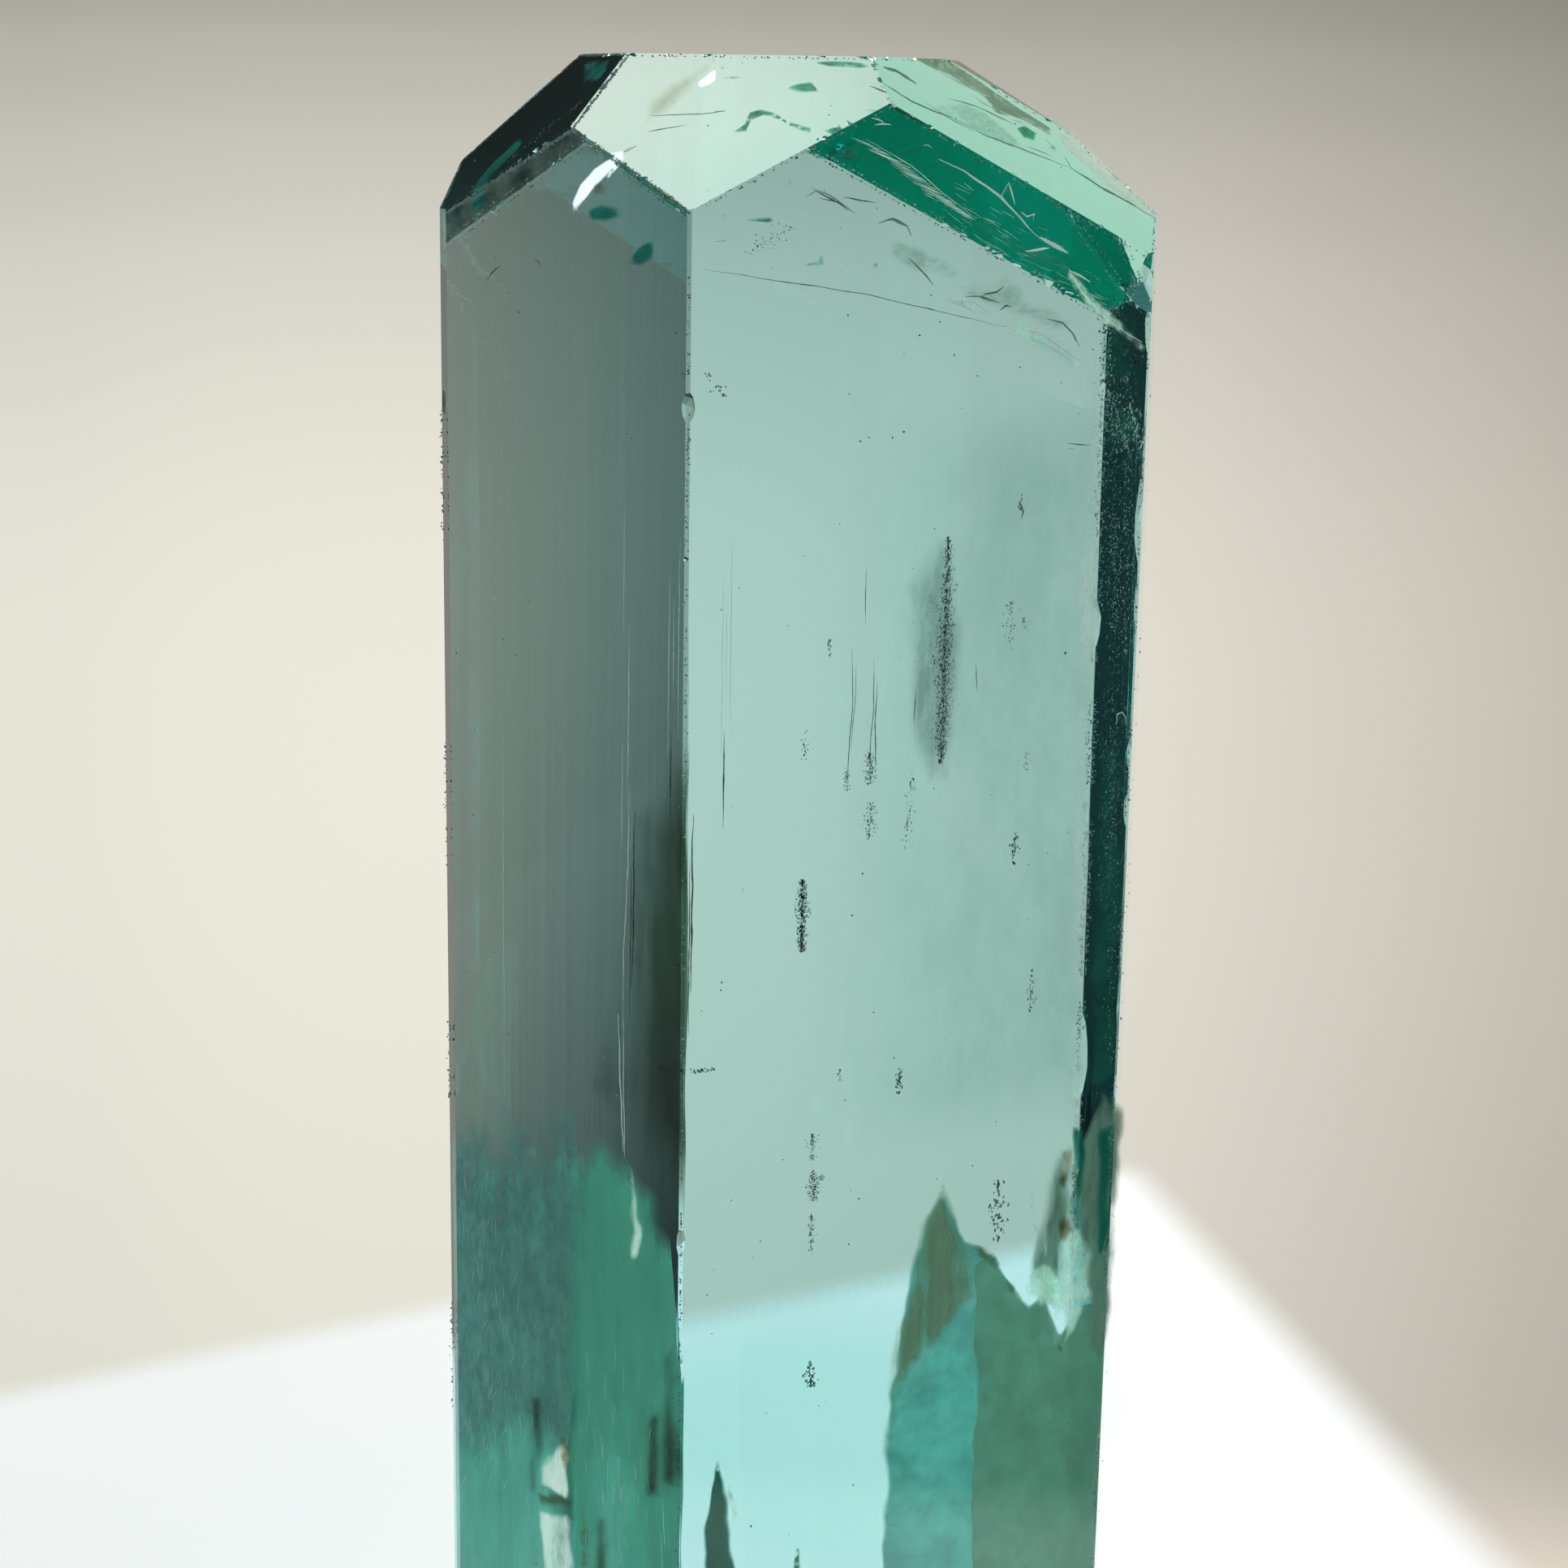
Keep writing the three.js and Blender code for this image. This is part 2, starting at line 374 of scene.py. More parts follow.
def grainMaterial(name, dark, pale, paleShare, alpha=1.0, paintedGlow=0.0):
    # small solid grains, mostly dark with some pale ones; the pale colour can also give off a painted glow
    mat, add, place, whole = newMaterial(name)
    look = grainPattern
    choose = noiseOf(add, whole, look["scale"], 1.0)
    lower = look["shift"] * paleShare
    tone = mixColour(add, ramp(add, choose, look["from"] - lower, look["to"] - lower), dark, pale)
    surface = add("ShaderNodeBsdfPrincipled", {"Base Color": tone, "Roughness": look["roughness"],
                                               "Alpha": alpha,
                                               "Emission Color": pale, "Emission Strength": paintedGlow}).outputs[0]
    add("ShaderNodeOutputMaterial", {"Surface": surface})
    return mat


def tip(i):
    return ("tip", i)


def faceFrame(face):
    # a corner or foot of the face, its rightward and upward directions seen from outside, and its normal
    if isinstance(face, tuple):
        n, origin = tipPlanes()[face[1]]
        u = Vector((-n.y, n.x, 0)).normalized()
        return origin, u, n.cross(u), n
    n = faceNormal(face)
    return edgePoint(face - 1), Vector((-n.y, n.x, 0)), Vector((0, 0, 1)), n


def onFace(face, u, v, depth=0.0):
    origin, across, upward, n = faceFrame(face)
    return origin + across * u + upward * v - n * depth


# step along a thread, how finely it wobbles and thickens, the share that tapers, and how thin it gets
threadForm = {
    "step": 0.09, "wobbleScale": 2.4, "thickScale": 5, "taper": 0.3, "endShare": 0.25, "least": 0.65,
    "range": 0.8,
    "across": (0.3, 0.9, 0.2),
}


def addStrand(bm, points, radius, seed, wobble=0.02, sides=5):
    # a thin uneven thread through the points, closed at both ends
    form = threadForm
    line = []
    for a, b in zip(points, points[1:]):
        steps = max(1, int((b - a).length / form["step"]))
        line += [a.lerp(b, k / steps) for k in range(steps)]
    line.append(points[-1])
    shift = Vector((seed * 3.7, seed * 1.3, seed * 2.1))
    line = [p + noise.noise_vector(p * form["wobbleScale"] + shift) * wobble * 2 for p in line]
    rings = []
    for k, p in enumerate(line):
        run = (line[min(k + 1, len(line) - 1)] - line[max(k - 1, 0)]).normalized()
        side = run.cross(Vector(form["across"])).normalized()
        other = run.cross(side)
        end = min(k, len(line) - 1 - k) / max(1, len(line) * form["taper"])
        swell = form["least"] + form["range"] * abs(noise.noise(p * form["thickScale"] + shift))
        r = radius * (form["endShare"] + (1 - form["endShare"]) * min(1, end)) * swell
        rings.append([bm.verts.new(p + (side * math.cos(t) + other * math.sin(t)) * r)
                      for t in (math.tau * s / sides for s in range(sides))])
    for low, high in zip(rings, rings[1:]):
        for s in range(sides):
            bm.faces.new((low[s], low[(s + 1) % sides], high[(s + 1) % sides], high[s]))
    bm.faces.new(rings[0][::-1])
    bm.faces.new(rings[-1])


def fromRim(p, rim, firm):
    # distance from a point to a closed line, leaving out its firm stretches
    best = 1e9
    for a, b, held in zip(rim, rim[1:] + rim[:1], firm):
        if held:
            continue
        run = b - a
        t = max(0.0, min(1.0, (p - a).dot(run) / max(run.length_squared, 1e-12)))
        best = min(best, (a + run * t - p).length_squared)
    return math.sqrt(best)


# how fine the rim's jags and the wave are, the least depth under the face, and how near points are joined
sheetForm = {"jagScale": 2.2, "waveScale": 0.8, "shallowest": 0.04, "joined": 1e-4}


def addSheet(bm, face, depth, outline, seed, firm=(), grain=0.16, jag=0.05, wave=0.05, thick=0.02):
    # a thin closed slab under a face, with a ragged rim and a slight wave; its verts know how far in they lie
    # from the rim, except from the firm sides of the outline, where the film doesn't fade
    rim, held = [], []
    shift = Vector((seed * 5.1, seed * 2.3, 0))
    for side, ((u0, v0), (u1, v1)) in enumerate(zip(outline, outline[1:] + outline[:1])):
        steps = max(1, int(math.hypot(u1 - u0, v1 - v0) / grain))
        for k in range(steps):
            p = Vector((u0 + (u1 - u0) * k / steps, v0 + (v1 - v0) * k / steps, 0))
            p += noise.noise_vector(p * sheetForm["jagScale"] + shift) * (0.0 if side in firm else jag * 2)
            rim.append(Vector((p.x, p.y)))
            held.append(side in firm)
    us, vs = [p.x for p in rim], [p.y for p in rim]
    inner = []
    for row in range(int((max(vs) - min(vs)) / grain) + 1):
        for col in range(int((max(us) - min(us)) / grain) + 1):
            inner.append(Vector((min(us) + (col + 0.5 * (row % 2)) * grain, min(vs) + (row + 0.5) * grain)))
    loop = list(range(len(rim)))
    made = geometry.delaunay_2d_cdt(rim + inner, [], [loop], 1, sheetForm["joined"])
    flatVerts, faces = made[0], made[2]
    inset = bm.verts.layers.float.get("inset") or bm.verts.layers.float.new("inset")
    insets = [fromRim(p, rim, held) for p in flatVerts]
    layers = []
    for extra in (0.0, thick):
        layers.append([])
        for p, away in zip(flatVerts, insets):
            swell = wave * noise.noise(Vector((p.x, p.y, 0)) * sheetForm["waveScale"] + shift)
            vert = bm.verts.new(onFace(face, p.x, p.y, max(sheetForm["shallowest"], depth + swell) + extra))
            vert[inset] = away
            layers[-1].append(vert)
    front, back = layers
    rimSides = {}
    for f in faces:
        bm.faces.new([front[k] for k in f])
        bm.faces.new([back[k] for k in reversed(f)])
        for a, b in zip(f, f[1:] + f[:1]):
            rimSides[(a, b)] = rimSides.get((a, b), 0) + 1
    for a, b in [e for e in rimSides if (e[1], e[0]) not in rimSides]:
        bm.faces.new((front[b], front[a], back[a], back[b]))


def finishPiece(name, bm, material):
    loose = [v for v in bm.verts if not v.link_faces]
    bmesh.ops.delete(bm, geom=loose, context="VERTS")
    bmesh.ops.recalc_face_normals(bm, faces=bm.faces)
    piece = newObject(name, bm, material)
    rideAll(piece)
    print(name, len(piece.data.polygons), "faces")
    return piece


def newTree(name, kinds):
    tree = bpy.data.node_groups.new(name, "GeometryNodeTree")
    for way in ("OUTPUT", "INPUT"):
        tree.interface.new_socket("Geometry", in_out=way, socket_type="NodeSocketGeometry")
    for key, kind in kinds.items():
        tree.interface.new_socket(key, in_out="INPUT", socket_type="NodeSocket" + kind)
    add = adder(tree)
    return tree, add, add("NodeGroupInput").outputs


def closeTree(add, grains, material):
    solid = add("GeometryNodeRealizeInstances", {0: grains}).outputs[0]
    done = add("GeometryNodeSetMaterial", {"Geometry": solid, "Material": material}).outputs[0]
    add("NodeGroupOutput", {0: done})


def speckTree():
    # grains scattered about a line, thinning out at its ends
    tree, add, given = newTree("speckTrail", {
        "Start": "Vector", "End": "Vector", "Spread": "Vector", "Count": "Int", "Seed": "Int",
        "Small": "Float",
        "Large": "Float", "Stretch": "Float", "Tilt": "Float", "Material": "Material"})

    def chance(offset, low, high, vector=False):
        seed = calc(add, "ADD", given["Seed"], float(offset))
        if vector:
            return add("FunctionNodeRandomValue", {0: low, 1: high, 8: seed},
                       data_type="FLOAT_VECTOR").outputs[0]
        return add("FunctionNodeRandomValue", {2: low, 3: high, 8: seed}, data_type="FLOAT").outputs[1]

    along = chance(0, 0.0, 1.0)
    ends = calc(add, "MULTIPLY", calc(add, "MULTIPLY", along, calc(add, "SUBTRACT", 1.0, along)), 4.0)
    width = calc(add, "ADD", calc(add, "MULTIPLY", calc(add, "POWER", ends, 0.5), 0.85), 0.15)
    centred = calc(add, "MULTIPLY", chance(31, 0.05, 1.0), width)
    off = add("ShaderNodeVectorMath", {0: chance(57, (-1, -1, -1), (1, 1, 1), True), 1: given["Spread"]},
              operation="MULTIPLY").outputs[0]
    off = add("ShaderNodeVectorMath", {0: off, 3: centred}, operation="SCALE").outputs[0]
    line = add("ShaderNodeMix", {0: along, 4: given["Start"], 5: given["End"]}, data_type="VECTOR").outputs[1]
    place = add("ShaderNodeVectorMath", {0: line, 1: off}, operation="ADD").outputs[0]
    points = add("GeometryNodePoints", {"Count": given["Count"], "Position": place}).outputs[0]
    ball = add("GeometryNodeMeshIcoSphere", {"Radius": 1.0, "Subdivisions": 1}).outputs[0]
    size = calc(add, "MULTIPLY", chance(83, given["Small"], given["Large"]), chance(97, 0.5, 1.0))
    tall = calc(add, "MULTIPLY", size, given["Stretch"])
    scale = add("ShaderNodeCombineXYZ", {0: size, 1: size, 2: tall}).outputs[0]
    lean = add("ShaderNodeVectorMath", {0: chance(111, (-1, -1, -1), (1, 1, 1), True), 3: given["Tilt"]},
               operation="SCALE").outputs[0]
    grains = add("GeometryNodeInstanceOnPoints", {"Points": points, "Instance": ball, "Rotation": lean,
                                                  "Scale": scale}).outputs[0]
    closeTree(add, grains, given["Material"])
    return tree


def dustTree():
    # grains lying on the faces of the mesh that carries the modifier
    tree, add, given = newTree("surfaceDust", {"Density": "Float", "Seed": "Int", "Small": "Float",
                                               "Large": "Float", "Material": "Material"})
    points = add("GeometryNodeDistributePointsOnFaces", {"Mesh": given["Geometry"],
                                                         "Density": given["Density"],
                                                         "Seed": given["Seed"]}).outputs[0]
    ball = add("GeometryNodeMeshIcoSphere", {"Radius": 1.0, "Subdivisions": 1}).outputs[0]
    seed = calc(add, "ADD", given["Seed"], 5.0)
    size = add("FunctionNodeRandomValue", {2: given["Small"], 3: given["Large"], 8: seed},
               data_type="FLOAT").outputs[1]
    skew = add("FunctionNodeRandomValue", {0: (0.5, 0.5, 0.5), 1: (1.3, 1.3, 1.6), 8: seed},
               data_type="FLOAT_VECTOR").outputs[0]
    scale = add("ShaderNodeVectorMath", {0: skew, 3: size}, operation="SCALE").outputs[0]
    grains = add("GeometryNodeInstanceOnPoints", {"Points": points, "Instance": ball,
                                                  "Scale": scale}).outputs[0]
    closeTree(add, grains, given["Material"])
    return tree


def grow(tree, values, host=None):
    # runs a tree once and hands back the finished mesh
    carrier = bpy.data.objects.new("carrier", host.data.copy() if host else bpy.data.meshes.new("carrier"))
    scene.collection.objects.link(carrier)
    made = carrier.modifiers.new("grow", "NODES")
    made.node_group = tree
    for item in tree.interface.items_tree:
        if item.item_type == "SOCKET" and item.in_out == "INPUT" and item.name in values:
            made[item.identifier] = values[item.name]
    mesh = bpy.data.meshes.new_from_object(carrier.evaluated_get(bpy.context.evaluated_depsgraph_get()))
    carrier.modifiers.remove(made)
    bpy.data.objects.remove(carrier)
    return mesh


def grainPiece(name, meshes):
    bm = bmesh.new()
    for mesh in meshes:
        bm.from_mesh(mesh)
    whole = bpy.data.meshes.new(name)
    bm.to_mesh(whole)
    bm.free()
    for material in meshes[0].materials:
        whole.materials.append(material)
    piece = bpy.data.objects.new(name, whole)
    scene.collection.objects.link(piece)
    rideAll(piece)
    print(name, len(whole.polygons), "faces")
    return piece


body = crystalBody(emeraldMaterial())
rideAll(body)
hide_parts("emerald_crystal")
print("crystal made")

# growth tubes and clusters: face, depth, start, end, spread across and along, count, least and largest grain
# and its stretch
tubes = {
    "main": [
        (broad, 2.5, (5.36, 26.0), (5.34, 22.0), (0.18, 0.1), 1700, 0.005, 0.016, 2.2),
        (broad, 2.5, (5.38, 24.6), (5.36, 22.1), (0.24, 0.1), 700, 0.004, 0.012, 1.8),
        (broad, 2.6, (5.1, 25.0), (5.15, 22.4), (0.6, 0.2), 900, 0.003, 0.008, 1.6),
        (broad, 1.6, (2.53, 20.25), (2.53, 18.95), (0.14, 0.04), 620, 0.008, 0.022, 1.5),
        (broad, 2.0, (3.84, 22.35), (3.86, 21.8), (0.15, 0.1), 190, 0.006, 0.02, 1.4),
        (broad, 2.0, (3.9, 21.45), (3.86, 20.8), (0.14, 0.1), 160, 0.006, 0.018, 1.4),
        (broad, 2.0, (3.4, 22.1), (3.43, 21.7), (0.09, 0.05), 80, 0.005, 0.015, 1.6),
        (broad, 1.6, (2.8, 15.6), (2.8, 15.1), (0.14, 0.1), 110, 0.006, 0.02, 1.4),
        (broad, 1.6, (2.82, 14.9), (2.84, 14.35), (0.14, 0.1), 170, 0.007, 0.022, 1.3),
        (broad, 1.6, (2.95, 14.8), (2.98, 14.7), (0.18, 0.05), 50, 0.006, 0.016, 1.2),
        (broad, 1.6, (2.8, 14.1), (2.83, 13.3), (0.09, 0.1), 80, 0.006, 0.018, 1.8),
    ],
    "faint": [
        (broad, 1.6, (6.47, 26.75), (6.47, 26.45), (0.05, 0.05), 16, 0.01, 0.02, 2.2),
        (broad, 1.6, (6.35, 24.9), (6.33, 24.2), (0.2, 0.2), 50, 0.008, 0.018, 1.6),
        (broad, 1.6, (6.6, 24.6), (6.6, 24.4), (0.12, 0.1), 20, 0.008, 0.016, 1.6),
        (broad, 1.6, (6.58, 20.75), (6.55, 20.2), (0.1, 0.1), 46, 0.01, 0.024, 1.8),
        (broad, 1.6, (6.75, 22.2), (6.75, 21.9), (0.08, 0.1), 16, 0.008, 0.016, 1.8),
        (broad, 1.6, (7.03, 18.2), (7.0, 17.4), (0.1, 0.1), 44, 0.008, 0.02, 2.0),
        (broad, 1.6, (4.45, 16.6), (4.45, 16.15), (0.09, 0.1), 40, 0.012, 0.028, 1.6),
        (broad, 1.6, (3.3, 16.75), (3.3, 16.5), (0.05, 0.05), 14, 0.01, 0.02, 1.6),
        (broad, 1.6, (2.82, 11.25), (2.86, 10.8), (0.14, 0.1), 50, 0.014, 0.032, 1.4),
        (broad, 1.6, (0.5, 17.0), (0.95, 17.0), (0.08, 0.08), 46, 0.012, 0.028, 1.0),
        (broad, 1.6, (2.53, 22.9), (2.55, 22.3), (0.12, 0.2), 26, 0.008, 0.016, 1.6),
        (broad, 1.6, (2.95, 24.5), (2.95, 24.1), (0.04, 0.1), 12, 0.01, 0.018, 3.0),
        (broad, 2.2, (4.75, 21.9), (4.6, 20.6), (0.12, 0.3), 60, 0.006, 0.014, 3.0),
        (broad, 0.8, (0.5, 29.0), (0.8, 28.6), (0.12, 0.1), 22, 0.014, 0.03, 1.0),
        (broad, 1.0, (6.3, 14.4), (6.35, 13.2), (0.2, 0.2), 80, 0.012, 0.03, 2.0),
        (broad, 0.5, (1.1, 30.9), (1.9, 31.35), (0.2, 0.2), 70, 0.008, 0.02, 1.0),
        (broad, 0.6, (7.5, 30.0), (8.3, 29.0), (0.35, 0.5), 240, 0.01, 0.034, 1.0),
    ],
    "pale": [
        (broad, 0.4, (7.72, 29.2), (8.0, 24.5), (0.34, 0.2), 320, 0.004, 0.009, 3.2),
        (broad, 0.4, (8.05, 28.9), (8.25, 24.0), (0.3, 0.2), 240, 0.004, 0.01, 3.2),
        (broad, 0.4, (7.95, 26.4), (8.12, 20.5), (0.34, 0.2), 260, 0.003, 0.008, 3.0),
        (broad, 0.4, (8.1, 22.5), (8.3, 16.5), (0.3, 0.2), 170, 0.003, 0.008, 3.4),
        (broad, 0.45, (7.7, 28.6), (8.1, 27.6), (0.3, 0.3), 160, 0.004, 0.012, 3.0),
        (broad, 0.45, (8.15, 28.3), (8.4, 27.6), (0.14, 0.3), 60, 0.006, 0.016, 4.0),
        (broad, 0.5, (7.45, 29.15), (7.57, 24.0), (0.1, 0.1), 520, 0.003, 0.009, 1.6),
        (broad, 0.5, (7.55, 25.5), (7.68, 18.0), (0.1, 0.1), 380, 0.003, 0.009, 1.6),
        (tip(4), 0.35, (0.8, -6.0), (2.0, -4.2), (0.25, 0.1), 90, 0.005, 0.013, 1.0),
    ],
}


def crossSpread(face, across, along):
    # spread across the face and into it, and along the crystal
    origin, u, v, n = faceFrame(face)
    inward = across * 0.6
    return Vector((abs(u.x) * across + abs(n.x) * inward, abs(u.y) * across + abs(n.y) * inward, along))


trail = speckTree()
darkGrain = grainMaterial("darkFluid", (0.03, 0.06, 0.05, 1), (0.5, 0.66, 0.6, 1), 0.4, 0.48)
faintGrain = grainMaterial("faintFluid", (0.06, 0.12, 0.1, 1), (0.4, 0.55, 0.5, 1), 0.3, 0.55)
# pale specks that give off a faint painted glow
paleGrain = grainMaterial("paleSpecks", (0.3, 0.55, 0.46, 1), (0.8, 0.95, 0.88, 1), 0.9, 0.85, 0.12)
tubeSeed = {"first": 100, "step": 7}
for group, grainLook in (("main", darkGrain), ("faint", faintGrain), ("pale", paleGrain)):
    meshes = []
    for k, (face, depth, start, end, spread, count, small, large, stretch) in enumerate(tubes[group]):
        meshes.append(grow(trail, {
            "Start": onFace(face, *start, depth) * mm, "End": onFace(face, *end, depth) * mm,
            "Spread": crossSpread(face, *spread) * mm, "Count": count, "Small": small * mm,
            "Seed": tubeSeed["first"] + k * tubeSeed["step"], "Large": large * mm, "Stretch": stretch,
            "Tilt": 0.5, "Material": grainLook}))
    grainPiece(group + "Tubes", meshes)

